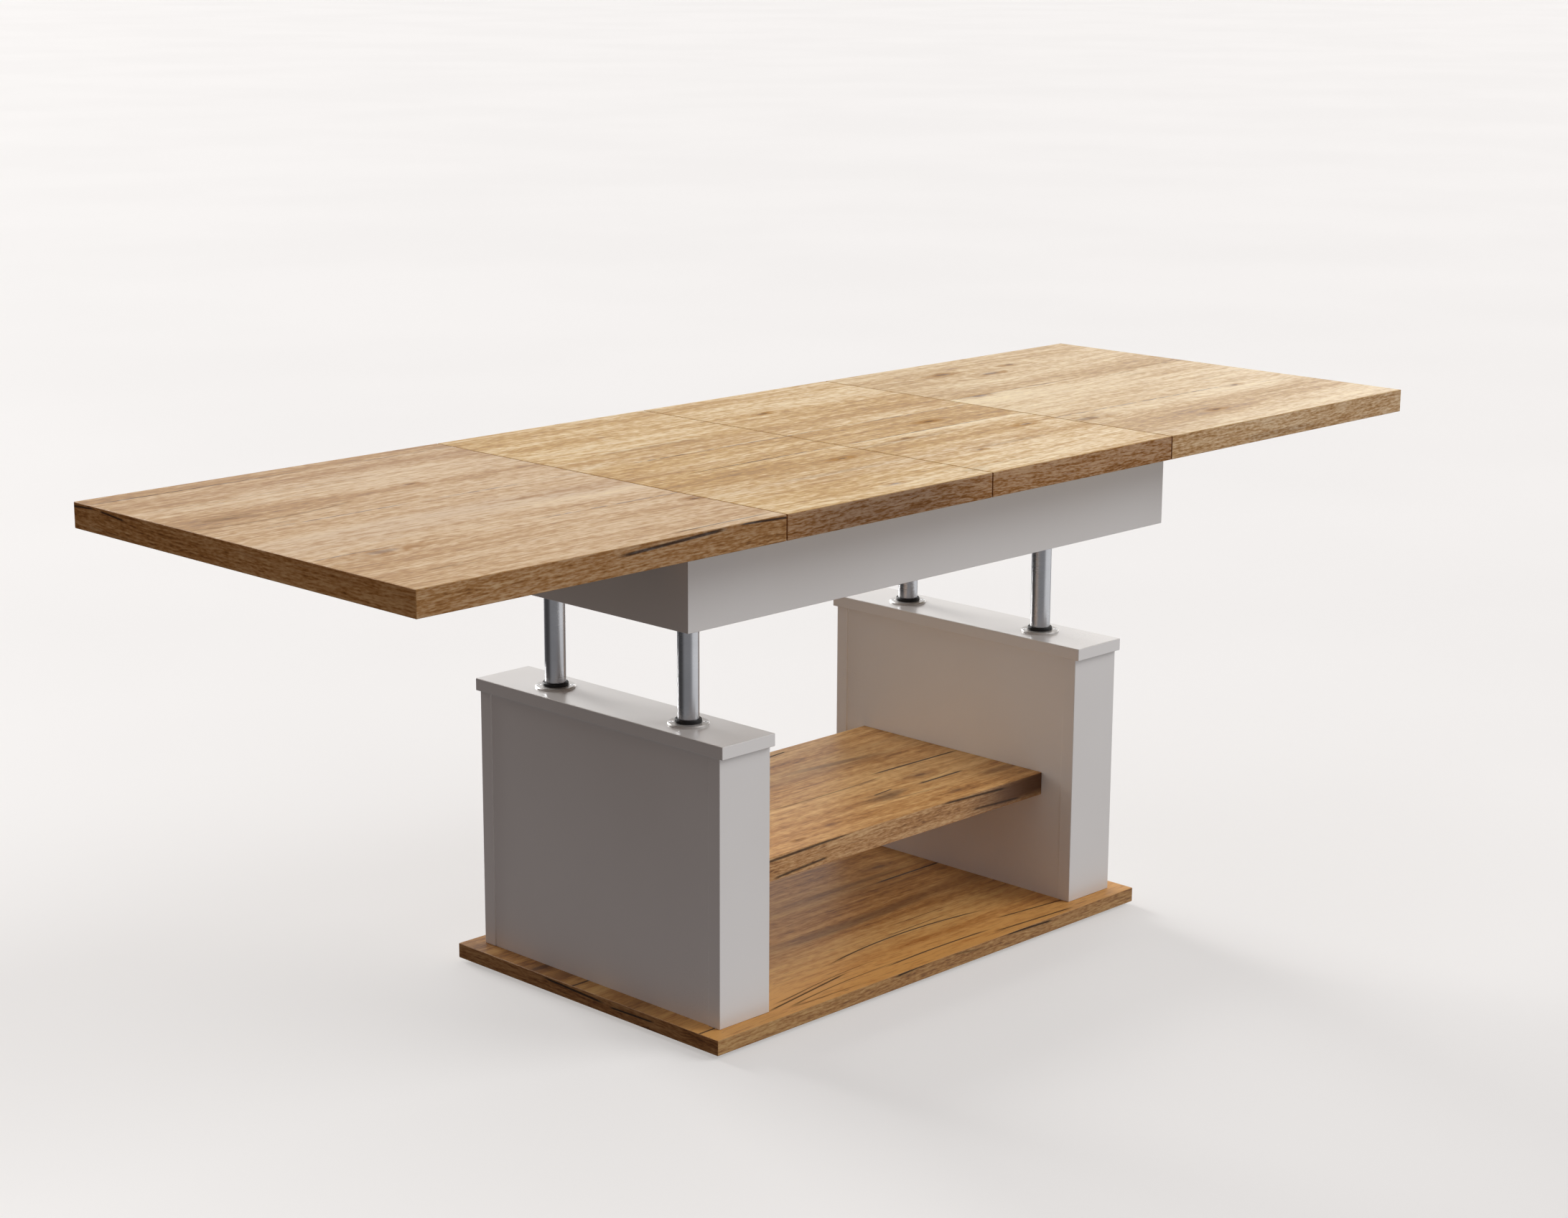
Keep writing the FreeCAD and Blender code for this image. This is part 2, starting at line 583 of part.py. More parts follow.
def bearing_screw_points():
    """Return the head points of the screws that hold the lever bearings, sunk in from below."""
    level = LEVER_SHAFT_LEVEL - LEVER_SHAFT_DIAMETER / 2 - BEARING_LIP
    reach = LEVER_X - LEVER_SHAFT_DIAMETER / 2 - (BEARING_DEPTH - LEVER_SHAFT_DIAMETER) / 2
    points = []
    for x_sign in SIDES.values():
        for y_sign in FACES.values():
            points.append(vector(x_sign * reach, y_sign * BEARING_SPACING / 2, level))
    return points


def bearing_screw(point, clearance=0.0):
    """Return a bearing screw, or its hole, long enough to enter the apron floor."""
    length = FLOOR_BOTTOM - point.z + SMALL_SCREW_LENGTH - FLANGE_THICKNESS
    return screw(point, UP, SMALL_SCREW_SHANK * 2, SMALL_SCREW_SHANK, length, clearance)


def build_apron():
    """Write the four mitred apron boards, the floor and the corner blocks."""
    length = APRON_HALF_LENGTH
    width = APRON_HALF_WIDTH
    inner_x = APRON_INNER_X
    inner_y = APRON_INNER_Y
    outlines = {
        "apron_front": [(-length, -width), (length, -width), (inner_x, -inner_y), (-inner_x, -inner_y)],
        "apron_rear": [(length, width), (-length, width), (-inner_x, inner_y), (inner_x, inner_y)],
        "apron_left": [(-length, width), (-length, -width), (-inner_x, -inner_y), (-inner_x, inner_y)],
        "apron_right": [(length, -width), (length, width), (inner_x, inner_y), (inner_x, -inner_y)],
    }
    for name, outline in outlines.items():
        corners = [vector(x, y, APRON_BOTTOM) for x, y in outline]
        board = Part.Face(Part.makePolygon(corners + corners[:1])).extrude(UP * APRON_HEIGHT)
        outer_middle = (corners[0] + corners[1]) * 0.5
        long_edges = []
        for edge in board.Edges:
            offset = edge.CenterOfMass - outer_middle
            if abs(offset.x) < APRON_EDGE_RADIUS and abs(offset.y) < APRON_EDGE_RADIUS:
                long_edges.append(edge)
        board = board.makeFillet(APRON_EDGE_RADIUS, long_edges)
        for side, sign in SIDES.items():
            if name != "apron_" + side:
                continue
            near = TRACK_RANGES[side][0] - RUNNER_NOTCH_CLEARANCE
            far = TRACK_RANGES[side][1] + RUNNER_NOTCH_CLEARANCE
            for y_sign in FACES.values():
                notch = slab((sign * inner_x, sign * length), (y_sign * near, y_sign * far),
                             (RUNNER_BOTTOM - RUNNER_NOTCH_CLEARANCE, APRON_TOP))
                board = board.cut(notch)
        export(name, [board])

    floor = slab((-inner_x, inner_x), (-inner_y, inner_y), (FLOOR_BOTTOM, FLOOR_TOP))
    holes = [small_screw(point, UP, FASTENER_CLEARANCE) for point in flange_screw_points()]
    holes += [small_screw(point, DOWN, FASTENER_CLEARANCE) for point in track_screw_points()]
    holes += [bearing_screw(point, FASTENER_CLEARANCE) for point in bearing_screw_points()]
    export("apron_floor", [cut_all(floor, holes)])

    blocks = []
    for x_sign in SIDES.values():
        for y_sign in FACES.values():
            corners = [vector(x_sign * inner_x, y_sign * inner_y, FLOOR_TOP),
                       vector(x_sign * (inner_x - CORNER_BLOCK_LEG), y_sign * inner_y, FLOOR_TOP),
                       vector(x_sign * inner_x, y_sign * (inner_y - CORNER_BLOCK_LEG), FLOOR_TOP)]
            face = Part.Face(Part.makePolygon(corners + corners[:1]))
            blocks.append(face.extrude(UP * CORNER_BLOCK_HEIGHT))
    export("apron_corner_blocks", blocks)

    screws = [small_screw(point, UP) for point in flange_screw_points()]
    screws += [small_screw(point, DOWN) for point in track_screw_points()]
    export("apron_screws", screws)


def build_tracks():
    """Write the two runner tracks on the apron floor and the blocks that stop the runners."""
    for face, y_sign in FACES.items():
        span = (-APRON_INNER_X, APRON_INNER_X)
        web = slab(span, (y_sign * WEB_NEAR, y_sign * WEB_FAR), (FLOOR_TOP, TRACK_TOP))
        tongue = slab(span, (y_sign * (WEB_NEAR - TONGUE_DEPTH), y_sign * (WEB_FAR + TONGUE_DEPTH)),
                      (TONGUE_BOTTOM, TONGUE_BOTTOM + TONGUE_HEIGHT))
        foot = slab(span, (y_sign * (WEB_NEAR - TRACK_FOOT_WIDTH), y_sign * WEB_NEAR),
                    (FLOOR_TOP, FLOOR_TOP + TRACK_FOOT_HEIGHT))
        holes = [small_screw(point, DOWN, FASTENER_CLEARANCE) for point in track_screw_points()]
        export(face + "_runner_track", [cut_all(web.fuse(tongue).fuse(foot).removeSplitter(), holes)])

    blocks = []
    top = RUNNER_BOTTOM - STOP_BLOCK_RUNNER_CLEARANCE
    peg_face = STOP_PEG_INSET + STOP_PEG_DIAMETER / 2 - RUNNER_PAST_CENTRE
    start = peg_face + SLIDE_TRAVEL + STOP_CLEARANCE
    for side, x_sign in SIDES.items():
        for y_sign in FACES.values():
            y_range = (WEB_FAR, OUTER_TRACK_FAR) if side == "left" else (INNER_TRACK_NEAR, WEB_NEAR)
            blocks.append(slab((x_sign * start, x_sign * (start + STOP_BLOCK_LENGTH)),
                               (y_sign * y_range[0], y_sign * y_range[1]), (top - STOP_BLOCK_HEIGHT, top)))
    export("runner_stops", blocks)


def build_levers():
    """Write the two release levers, each in two bearings under the apron floor."""
    radius = LEVER_SHAFT_DIAMETER / 2
    bearings = []
    for side, sign in SIDES.items():
        axis = sign * LEVER_X
        half_length = POST_Y + LEVER_SHAFT_END
        lever = rod(vector(axis, -half_length, LEVER_SHAFT_LEVEL), vector(0, 1, 0), radius, 2 * half_length)
        tongue_range = (LEVER_TONGUE_BOTTOM, LEVER_TONGUE_BOTTOM + LEVER_TONGUE_THICKNESS)
        for y_sign in FACES.values():
            tip = sign * (PEDESTAL_X + VALVE_PIN_DIAMETER / 2 + LEVER_TONGUE_REACH)
            middle = y_sign * POST_Y
            half_width = LEVER_TONGUE_WIDTH / 2
            tongue = slab((axis, tip), (middle - half_width, middle + half_width), tongue_range)
            lever = lever.fuse(tongue)
        paddle = slab((axis, axis - sign * PADDLE_LENGTH), (-PADDLE_WIDTH / 2, PADDLE_WIDTH / 2),
                      (LEVER_SHAFT_LEVEL - PADDLE_THICKNESS, LEVER_SHAFT_LEVEL))
        export(side + "_release_lever", [lever.fuse(paddle).removeSplitter()])

        bottom = LEVER_SHAFT_LEVEL - radius - BEARING_LIP
        for y_sign in FACES.values():
            middle = y_sign * BEARING_SPACING / 2
            outer_face = LEVER_X + radius + BEARING_LIP
            block = slab((sign * outer_face, sign * (outer_face - BEARING_LIP - BEARING_DEPTH)),
                         (middle - BEARING_WIDTH / 2, middle + BEARING_WIDTH / 2), (bottom, FLOOR_BOTTOM))
            bore = rod(vector(axis, middle - BEARING_WIDTH / 2, LEVER_SHAFT_LEVEL), vector(0, 1, 0),
                       radius + BEARING_CLEARANCE, BEARING_WIDTH)
            holes = [bearing_screw(point, FASTENER_CLEARANCE) for point in bearing_screw_points()]
            bearings.append(cut_all(block, holes + [bore]))
    export("lever_bearings", bearings)
    export("bearing_screws", [bearing_screw(point) for point in bearing_screw_points()])


def runner_screw_points(side):
    """Return the head points of the screws that hold one end panel to its two runners."""
    near, far = TRACK_RANGES[side]
    solid = (RUNNER_WIDTH - TONGUE_DEPTH - TONGUE_CLEARANCE) / 2
    y = far - solid if side == "left" else near + solid
    points = []
    for y_sign in FACES.values():
        for x in spread(RUNNER_SCREWS, PANEL_START, PANEL_START + RUNNER_UNDER_PANEL):
            points.append(vector(SIDES[side] * x, y_sign * y, RUNNER_BOTTOM))
    return points


def runner_screw(point, clearance=0.0):
    """Return a runner screw, or its hole."""
    length = RUNNER_HEIGHT + RUNNER_SCREW_GRIP
    return screw(point, UP, RUNNER_SCREW_HEAD, RUNNER_SCREW_SHANK, length, clearance)


def build_end(side):
    """Write one end panel with its two grooved runners, their screws and stop pegs."""
    sign = SIDES[side]
    panel = eased_slab((sign * PANEL_START, sign * PANEL_END), (-TOP_WIDTH / 2, TOP_WIDTH / 2),
                       (TOP_BOTTOM, TOP_FACE), OAK_EDGE_RADIUS)
    holes = [runner_screw(point, FASTENER_CLEARANCE) for point in runner_screw_points(side)]
    export(side + "_end_panel", [cut_all(panel, holes)])

    near, far = TRACK_RANGES[side]
    groove_depth = TONGUE_DEPTH + TONGUE_CLEARANCE - RUNNER_WEB_CLEARANCE
    groove = (near, near + groove_depth) if side == "left" else (far - groove_depth, far)
    span = (-sign * RUNNER_PAST_CENTRE, sign * (PANEL_START + RUNNER_UNDER_PANEL))
    peg_x = sign * (STOP_PEG_INSET - RUNNER_PAST_CENTRE)
    runners = []
    pegs = []
    for y_sign in FACES.values():
        runner = slab(span, (y_sign * near, y_sign * far), (RUNNER_BOTTOM, TOP_BOTTOM))
        slot = slab(span, (y_sign * groove[0], y_sign * groove[1]),
                    (TONGUE_BOTTOM - TONGUE_CLEARANCE, TONGUE_BOTTOM + TONGUE_HEIGHT + TONGUE_CLEARANCE))
        peg_y = y_sign * (near + far) / 2
        seat_radius = STOP_PEG_DIAMETER / 2 + FASTENER_CLEARANCE
        seat = rod(vector(peg_x, peg_y, RUNNER_BOTTOM), UP, seat_radius, STOP_PEG_DEPTH)
        runners.append(cut_all(runner.cut(slot), holes + [seat]))
        pegs.append(rod(vector(peg_x, peg_y, RUNNER_BOTTOM - STOP_PEG_DROP), UP, STOP_PEG_DIAMETER / 2,
                        STOP_PEG_DROP + STOP_PEG_DEPTH))
    export(side + "_runners", runners)
    export(side + "_stop_pegs", pegs)
    export(side + "_runner_screws", [runner_screw(point) for point in runner_screw_points(side)])


def build_leaf(side):
    """Write one loose leaf and the two cleats that drop into the free tracks and keep it in line."""
    sign = SIDES[side]
    leaf = eased_slab((sign * LEAF_START, sign * LEAF_END), (-TOP_WIDTH / 2, TOP_WIDTH / 2),
                      (TOP_BOTTOM, TOP_FACE), OAK_EDGE_RADIUS)
    export(side + "_leaf", [leaf])
    near, far = TRACK_RANGES["right" if side == "left" else "left"]
    span = (sign * (RUNNER_PAST_CENTRE + CLEAT_RUNNER_GAP), sign * (LEAF_END - CLEAT_END_INSET))
    cleats = []
    for y_sign in FACES.values():
        cleats.append(slab(span, (y_sign * (near + CLEAT_CLEARANCE), y_sign * (far - CLEAT_CLEARANCE)),
                           (TONGUE_BOTTOM + TONGUE_HEIGHT + CLEAT_TONGUE_GAP, TOP_BOTTOM)))
    export(side + "_leaf_cleats", cleats)


def main():
    """Write every node."""
    os.makedirs("parts", exist_ok=True)
    build_base()
    build_guides()
    build_base_fasteners()
    build_springs()
    build_posts()
    build_apron()
    build_tracks()
    build_levers()
    for side in SIDES:
        build_pedestal(side)
        build_end(side)
        build_leaf(side)


if __name__ == "__main__":
    main()
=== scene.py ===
"""Looks of a coffee table whose top lifts and extends to make a dining table.

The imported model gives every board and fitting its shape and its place. This script gives them
their finishes, puts real screws in the place of the plain ones, and sets up the studio.
"""

import json
import logging
import math
from dataclasses import dataclass
from enum import Enum

import bmesh
import bpy
from mathutils import Matrix, Vector

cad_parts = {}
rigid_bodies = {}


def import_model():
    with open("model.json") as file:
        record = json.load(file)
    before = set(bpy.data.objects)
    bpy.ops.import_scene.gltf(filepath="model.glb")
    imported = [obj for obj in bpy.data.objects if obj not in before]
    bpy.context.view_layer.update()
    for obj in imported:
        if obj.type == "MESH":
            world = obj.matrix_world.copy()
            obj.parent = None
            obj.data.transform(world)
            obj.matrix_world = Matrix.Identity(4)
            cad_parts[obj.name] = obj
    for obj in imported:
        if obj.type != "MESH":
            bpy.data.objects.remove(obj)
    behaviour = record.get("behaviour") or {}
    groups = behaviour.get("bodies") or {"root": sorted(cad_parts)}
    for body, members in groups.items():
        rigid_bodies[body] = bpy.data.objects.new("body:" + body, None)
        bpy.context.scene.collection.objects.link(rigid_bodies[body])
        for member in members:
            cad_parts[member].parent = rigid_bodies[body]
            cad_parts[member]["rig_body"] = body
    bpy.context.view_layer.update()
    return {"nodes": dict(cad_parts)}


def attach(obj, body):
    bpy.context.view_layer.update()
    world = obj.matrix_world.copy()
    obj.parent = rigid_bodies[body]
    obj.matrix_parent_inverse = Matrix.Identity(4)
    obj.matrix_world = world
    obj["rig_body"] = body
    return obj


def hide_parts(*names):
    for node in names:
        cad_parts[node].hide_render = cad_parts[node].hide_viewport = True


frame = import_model()
LOG = logging.getLogger("table")

Colour = tuple[float, float, float, float]
Triple = tuple[float, float, float]
Step = tuple[float, float]

# Noise runs from 0 to 1 about this value.
MIDDLE = 0.5


def tint(red: int, green: int, blue: int) -> Colour:
    """Return the linear colour of a screen colour.

    Args:
        red: Red, 0 to 255.
        green: Green, 0 to 255.
        blue: Blue, 0 to 255.

    Returns:
        The colour as Blender's sockets take it.
    """
    parts = [channel / 255.0 for channel in (red, green, blue)]
    linear = [((part + 0.055) / 1.055) ** 2.4 if part > 0.04045 else part / 12.92 for part in parts]
    return (linear[0], linear[1], linear[2], 1.0)


class Value:
    """A node's socket that takes part in arithmetic, so that a formula becomes Math nodes."""

    def __init__(self, graph: "Graph", socket: bpy.types.NodeSocket) -> None:
        """Keep the graph and the socket."""
        self.graph = graph
        self.socket = socket

    def __add__(self, other: "Value | float") -> "Value":
        """Return the sum."""
        return self.graph.math("ADD", self, other)

    def __sub__(self, other: "Value | float") -> "Value":
        """Return the difference."""
        return self.graph.math("SUBTRACT", self, other)

    def __rsub__(self, other: float) -> "Value":
        """Return a number less this value."""
        return self.graph.math("SUBTRACT", other, self)

    def __mul__(self, other: "Value | float") -> "Value":
        """Return the product."""
        return self.graph.math("MULTIPLY", self, other)

    def __truediv__(self, other: "Value | float") -> "Value":
        """Return the quotient."""
        return self.graph.math("DIVIDE", self, other)

    def __gt__(self, other: "Value | float") -> "Value":
        """Return 1 where this value is the greater, and 0 elsewhere."""
        return self.graph.math("GREATER_THAN", self, other)

    def __abs__(self) -> "Value":
        """Return the size without the sign."""
        return self.graph.math("ABSOLUTE", self)

    def swing(self, amount: "Value | float") -> "Value":
        """Return how far this noise lies from its middle, times an amount."""
        return (self - MIDDLE) * amount

    __radd__ = __add__
    __rmul__ = __mul__


class Graph:
    """A node tree that is filled from Python expressions."""

    def __init__(self, tree: bpy.types.NodeTree) -> None:
        """Start with an empty tree."""
        self.tree = tree
        self.tree.nodes.clear()

    def node(self, kind: str, settings: dict | None = None, sockets: dict | None = None,
             output: int | str = 0) -> Value:
        """Add a node.

        Args:
            kind: The node's type.
            settings: Properties to set first. "stops" sets the stops of a ramp.
            sockets: Values or links of the inputs, by name or number. A list links each of its items.
            output: The output to return, by name or number.

        Returns:
            The chosen output.
        """
        node = self.tree.nodes.new(kind)
        for key, setting in (settings or {}).items():
            if key == "stops":
                elements = node.color_ramp.elements
                while len(elements) < len(setting):
                    elements.new(1.0)
                for element, (position, colour) in zip(elements, setting):
                    element.position = position
                    element.color = colour
            else:
                setattr(node, key, setting)
        for key, content in (sockets or {}).items():
            for item in content if isinstance(content, list) else [content]:
                if isinstance(item, Value):
                    self.tree.links.new(item.socket, node.inputs[key])
                else:
                    node.inputs[key].default_value = item
        return Value(self, node.outputs[output])

    def math(self, operation: str, *operands: "Value | float") -> Value:
        """Return a Math node's result."""
        return self.node("ShaderNodeMath", {"operation": operation}, dict(enumerate(operands)))

    def join(self, x: "Value | float", y: "Value | float", z: "Value | float") -> Value:
        """Return a vector of three parts."""
        return self.node("ShaderNodeCombineXYZ", {}, {0: x, 1: y, 2: z})

    def split(self, vector: Value) -> list[Value]:
        """Return the three parts of a vector."""
        first = self.node("ShaderNodeSeparateXYZ", {}, {0: vector})
        return [Value(self, socket) for socket in first.socket.node.outputs]

    def smooth(self, value: Value, low: float, high: float) -> Value:
        """Return a soft step from 0 at low to 1 at high."""
        return self.node("ShaderNodeMapRange", {"interpolation_type": "SMOOTHSTEP"},
                         {"Value": value, "From Min": low, "From Max": high})

    def mix(self, factor: "Value | float", first: "Value | Colour", second: "Value | Colour",
            blend: str = "MIX") -> Value:
        """Return two colours mixed.

        Args:
            factor: Share of the second colour.
            first: The first colour.
            second: The second colour.
            blend: How they blend.

        Returns:
            The mixed colour.
        """
        settings = {"data_type": "RGBA", "blend_type": blend}
        return self.node("ShaderNodeMix", settings, {0: factor, 6: first, 7: second}, 2)


class Surface(Graph):
    """The node tree of one material."""

    def __init__(self, name: str) -> None:
        """Start an empty material.

        Args:
            name: The material's name.
        """
        self.material = bpy.data.materials.new(name)
        self.material.use_nodes = True
        super().__init__(self.material.node_tree)

    def coordinates(self, output: str) -> list[Value]:
        """Return the parts of one of the piece's own coordinates."""
        return self.split(self.node("ShaderNodeTexCoord", output=output))

    def noise(self, x: "Value | float", y: "Value | float", z: "Value | float",
              detail: float = 2.0, rough: float = 0.5) -> Value:
        """Return soft noise between 0 and 1 at a point.

        Args:
            x: First coordinate, already scaled.
            y: Second coordinate.
            z: Third coordinate, often a seed.
            detail: Number of finer layers.
            rough: Strength of the finer layers.

        Returns:
            The noise value.
        """
        sockets = {"Vector": self.join(x, y, z), "Scale": 1.0, "Detail": detail, "Roughness": rough}
        return self.node("ShaderNodeTexNoise", {"noise_dimensions": "3D"}, sockets)

    def texture(self, scales: Triple, detail: float = 2.0) -> Value:
        """Return soft noise all through the piece, with a scale for each of its axes."""
        parts = [part * scale for part, scale in zip(self.coordinates("Object"), scales)]
        return self.noise(*parts, detail)

    def bump(self, height: Value, strength: float, distance: float) -> Value:
        """Return the normal of a surface with this relief."""
        return self.node("ShaderNodeBump", {}, {"Height": height, "Strength": strength,
                                                "Distance": distance})

    def close(self, sockets: dict) -> bpy.types.Material:
        """Close the graph with a surface.

        Args:
            sockets: Values or links of the surface's inputs.

        Returns:
            The finished material.
        """
        surface = self.node("ShaderNodeBsdfPrincipled", {}, sockets)
        end = self.tree.nodes.new("ShaderNodeOutputMaterial")
        self.tree.links.new(surface.socket, end.inputs["Surface"])
        return self.material


class Slot(Enum):
    """Two material slots of the record; each set of new screws holds one, and takes its finish from the
    workshop.
    """

    CHROME = "collar_chrome"
    ZINC = "zinc_steel"


# The decor runs on over a board's edges and underside, each with a strip of it to itself, in metres.
EDGE_START = 2.0
EDGE_STEP = 0.5
UNDERSIDE_SHIFT = 5.0
# A mark that is wider than this is a brown stain, and a narrower one is a filled crack.
STAIN_WIDTH = 0.006


class EdgeFace(Enum):
    """The edge bands of a board, in the order in which their decor is laid out."""

    FRONT = 0
    REAR = 1
    LEFT = 2
    RIGHT = 3

    def across(self, level: float) -> float:
        """Return the decor coordinate of a height on this edge."""
        return EDGE_START + EDGE_STEP * self.value + level


@dataclass(frozen=True)
class Knot:
    """A knot in the oak decor, in metres along and across the grain."""

    along: float
    across: float
    radius: float
    dark: float = 0.75


@dataclass(frozen=True)
class Crack:
    """A thin filled crack or a broad brown stain in the oak decor, in metres."""

    along: float
    across: float
    length: float
    width: float = 0.002
    slope: float = 0.0
    bow: float = 0.0
    dark: float = 0.9


@dataclass(frozen=True)
class Layer:
    """One layer of noise in the oak decor.

    It has its scales along and across the grain and its own seed. The step is where patches of it
    begin and are full, and the amounts are what it does to the tone on faces, and adds on edges.
    """

    along: float
    across: float
    seed: float
    detail: float = 2.0
    rough: float = 0.5
    step: Step = (0.0, 1.0)
    amount: float = 0.0
    more_on_edges: float = 0.0


@dataclass
class Lay:
    """How the decor lies on a board: its coordinates, and which faces are flat or short edges."""

    along: Value
    across: Value
    flat: Value
    short: Value


@dataclass(frozen=True)
class OakDecor:
    """The oak laminate of one board: planks, grain, knots and cracks."""

    name: str
    seed: float
    joints: tuple[float, ...] = ()
    knots: tuple[Knot, ...] = ()
    cracks: tuple[Crack, ...] = ()
    bands: float = 0.5
    cracking: float = 0.3
    streaks: float = 0.34
    contrast: float = 1.0
    pale_front: float = 0.0
    front_tint: Colour = (1.0, 1.0, 1.0, 1.0)
    # Painted light: the face tint gives a board's faces their tone together with painted light and shade,
    # so that boards of one decor become lit and shaded copies of it.
    face_tone_and_painted_light: Colour = (1.0, 1.0, 1.0, 1.0)
    # Painted shade: the edge and end tints paint the long edge bands and the short ends darker than the
    # faces, partly the bands' own darker tone.
    edge_tone_and_painted_light: Colour = (0.60, 0.52, 0.46, 1.0)
    end_tone_and_painted_light: Colour = (0.52, 0.40, 0.30, 1.0)
    roughness: float = 0.36
    gloss: float = 0.42
    sheen: float = 0.0
    stops: tuple = (
        (0.15, tint(126, 82, 40)),
        (0.40, tint(176, 127, 72)),
        (0.58, tint(198, 153, 101)),
        (0.85, tint(222, 184, 133)),
    )
    heart: Colour = tint(150, 96, 44)
    pith: Colour = tint(88, 52, 24)
    filler: Colour = tint(30, 26, 24)

    SWAY = Layer(1.1, 2.6, 0.0)
    BREAKS = Layer(60.0, 150.0, 43.0)
    WEAR = Layer(4.0, 3.0, 31.0, step=(0.42, 0.56))
    BROAD = Layer(1.3, 11.0, 1.0, 3.0, 0.55, amount=0.75)
    STREAK = Layer(3.2, 48.0, 3.0, 3.0, 0.6)
    FINE = Layer(18.0, 210.0, 7.0, amount=0.50, more_on_edges=0.45)
    FIBRE = Layer(70.0, 330.0, 9.0, amount=0.45, more_on_edges=0.60)
    MOTTLE = Layer(50.0, 110.0, 13.0, 1.0, amount=0.35)
    WOOD = Layer(0.6, 8.0, 11.0, step=(0.54, 0.72))
    THREAD = Layer(1.2, 19.0, 17.0, 1.0)
    CRAZING = Layer(2.6, 8.0, 23.0, 1.0, step=(0.57, 0.65))
    PORE = Layer(16.0, 430.0, 29.0, 1.0, step=(0.58, 0.70))
    FLECK = Layer(28.0, 190.0, 37.0, 1.0, step=(0.70, 0.80))

    FACING = (0.55, 0.75)
    POINTING = 0.5
    GRAIN_SWAY = 0.045
    MARK_SWAY = 0.012
    BREAK_SPAN = 1.6
    BREAK_LEAST = 0.2
    CLOSER_ON_EDGES = 0.35

    KNOT_STRETCH = 0.34
    KNOT_REACH = 0.35
    KNOT_PULL = 0.85
    HALO = (0.1, 2.4)
    HALO_SHARE = 0.6
    CORE = (0.03, 0.28)

    PLANK_SHIFT = 0.37
    PLANK_SHIFT_STEP = 0.11
    PLANK_TONE = 0.06
    SEAM = (0.0008, 0.0026)
    SEAM_BREAKS = (0.75, 1.05)
    SEAM_SHARE = 0.85

    RINGS = 34.0
    RING_WOBBLE = 5.0
    RING_RISE = (0.0, 0.8)
    RING_FALL = (0.90, 1.0)
    RING_DEPTH = 0.07
    MIDDLE_TONE = 0.58
    FRONT_STRIP = (-0.10, -0.25)

    CRAZING_WIDTH = (0.003, 0.013)
    MARK_CORE = 0.3
    STAIN_FADE = 0.2
    CRACK_FADE = 0.7
    PORE_SHARE = 0.35
    FLECK_SHARE = 0.7

    FINE_RELIEF = 0.6
    PORE_RELIEF = 0.5
    FLECK_RELIEF = 0.6
    CRACK_RELIEF = 1.2
    RELIEF_STRENGTH = 0.20
    RELIEF_HEIGHT = 0.0004
    FINE_ROUGHNESS = 0.14
    MARK_ROUGHNESS = 0.4
    SHEEN_TONES = (0.42, 0.74)

    def noise(self, g: Surface, layer: Layer, along: Value, across: Value) -> Value:
        """Return one layer of this board's noise."""
        seed = self.seed + layer.seed
        return g.noise(along * layer.along, across * layer.across, seed, layer.detail, layer.rough)

    def patches(self, g: Surface, layer: Layer, along: Value, across: Value) -> Value:
        """Return 1 in the patches where a layer's noise is high, and 0 between them."""
        return g.smooth(self.noise(g, layer, along, across), *layer.step)

    def lay(self, g: Surface) -> Lay:
        """Lay the decor over the faces and the edges of a board.

        Args:
            g: The material's graph.

        Returns:
            The decor's coordinates.
        """
        x, y, z = g.coordinates("Object")
        nx, ny, nz = g.coordinates("Normal")
        flat = g.smooth(abs(nz), *self.FACING)
        short = g.smooth(abs(nx), *self.FACING)
        rear, left, right, under = (part > self.POINTING for part in (ny, nx * -1.0, nx, nz * -1.0))
        side = rear + left * EdgeFace.LEFT.value + right * EdgeFace.RIGHT.value
        band = z + EDGE_START + side * EDGE_STEP
        across = band + (y + under * UNDERSIDE_SHIFT - band) * flat
        return Lay(x + (y - x) * short, across, flat, short)

    def add_knots(self, g: Surface, lay: Lay, grain: Value,
                  broken: Value) -> tuple[Value, Value | float, Value | float]:
        """Bend the grain round the knots.

        Args:
            g: The material's graph.
            lay: The decor's coordinates.
            grain: The straight grain.
            broken: What makes the knots ragged.

        Returns:
            The bent grain, the brown halos of the knots and their dark cores.
        """
        halo: Value | float = 0.0
        core: Value | float = 0.0
        for knot in self.knots:
            along = (lay.along - knot.along) * self.KNOT_STRETCH
            across = lay.across - knot.across
            far = (along * along + across * across) * (1.0 / knot.radius ** 2)
            grain = grain - across / (1.0 + far * self.KNOT_REACH) * self.KNOT_PULL
            ragged = far * broken
            around = (1.0 - g.smooth(ragged, *self.HALO)) * (knot.dark * self.HALO_SHARE)
            halo = g.math("MAXIMUM", halo, around)
            core = g.math("MAXIMUM", core, (1.0 - g.smooth(ragged, *self.CORE)) * knot.dark)
        return grain, halo, core

    def add_planks(self, g: Surface, lay: Lay, grain: Value,
                   broken: Value) -> tuple[Value, Value | float, Value | float]:
        """Change the grain and the tone from plank to plank, with a worn seam between them.

        Args:
            g: The material's graph.
            lay: The decor's coordinates.
            grain: The grain as it runs in one plank.
            broken: What breaks the seams up.

        Returns:
            The grain of the planks, their tone and the seams.
        """
        plank: Value | float = 0.0
        seam: Value | float = 0.0
        worn = self.patches(g, self.WEAR, lay.along, lay.across)
        for number, joint in enumerate(self.joints):
            over = lay.across > joint
            grain = grain + over * (self.PLANK_SHIFT + self.PLANK_SHIFT_STEP * number)
            plank = plank + over * (self.PLANK_TONE if number % 2 else -self.PLANK_TONE)
            seam = g.math("MAXIMUM", seam, 1.0 - g.smooth(abs(lay.across - joint), *self.SEAM))
        return grain, plank, seam * worn * g.smooth(broken, *self.SEAM_BREAKS)

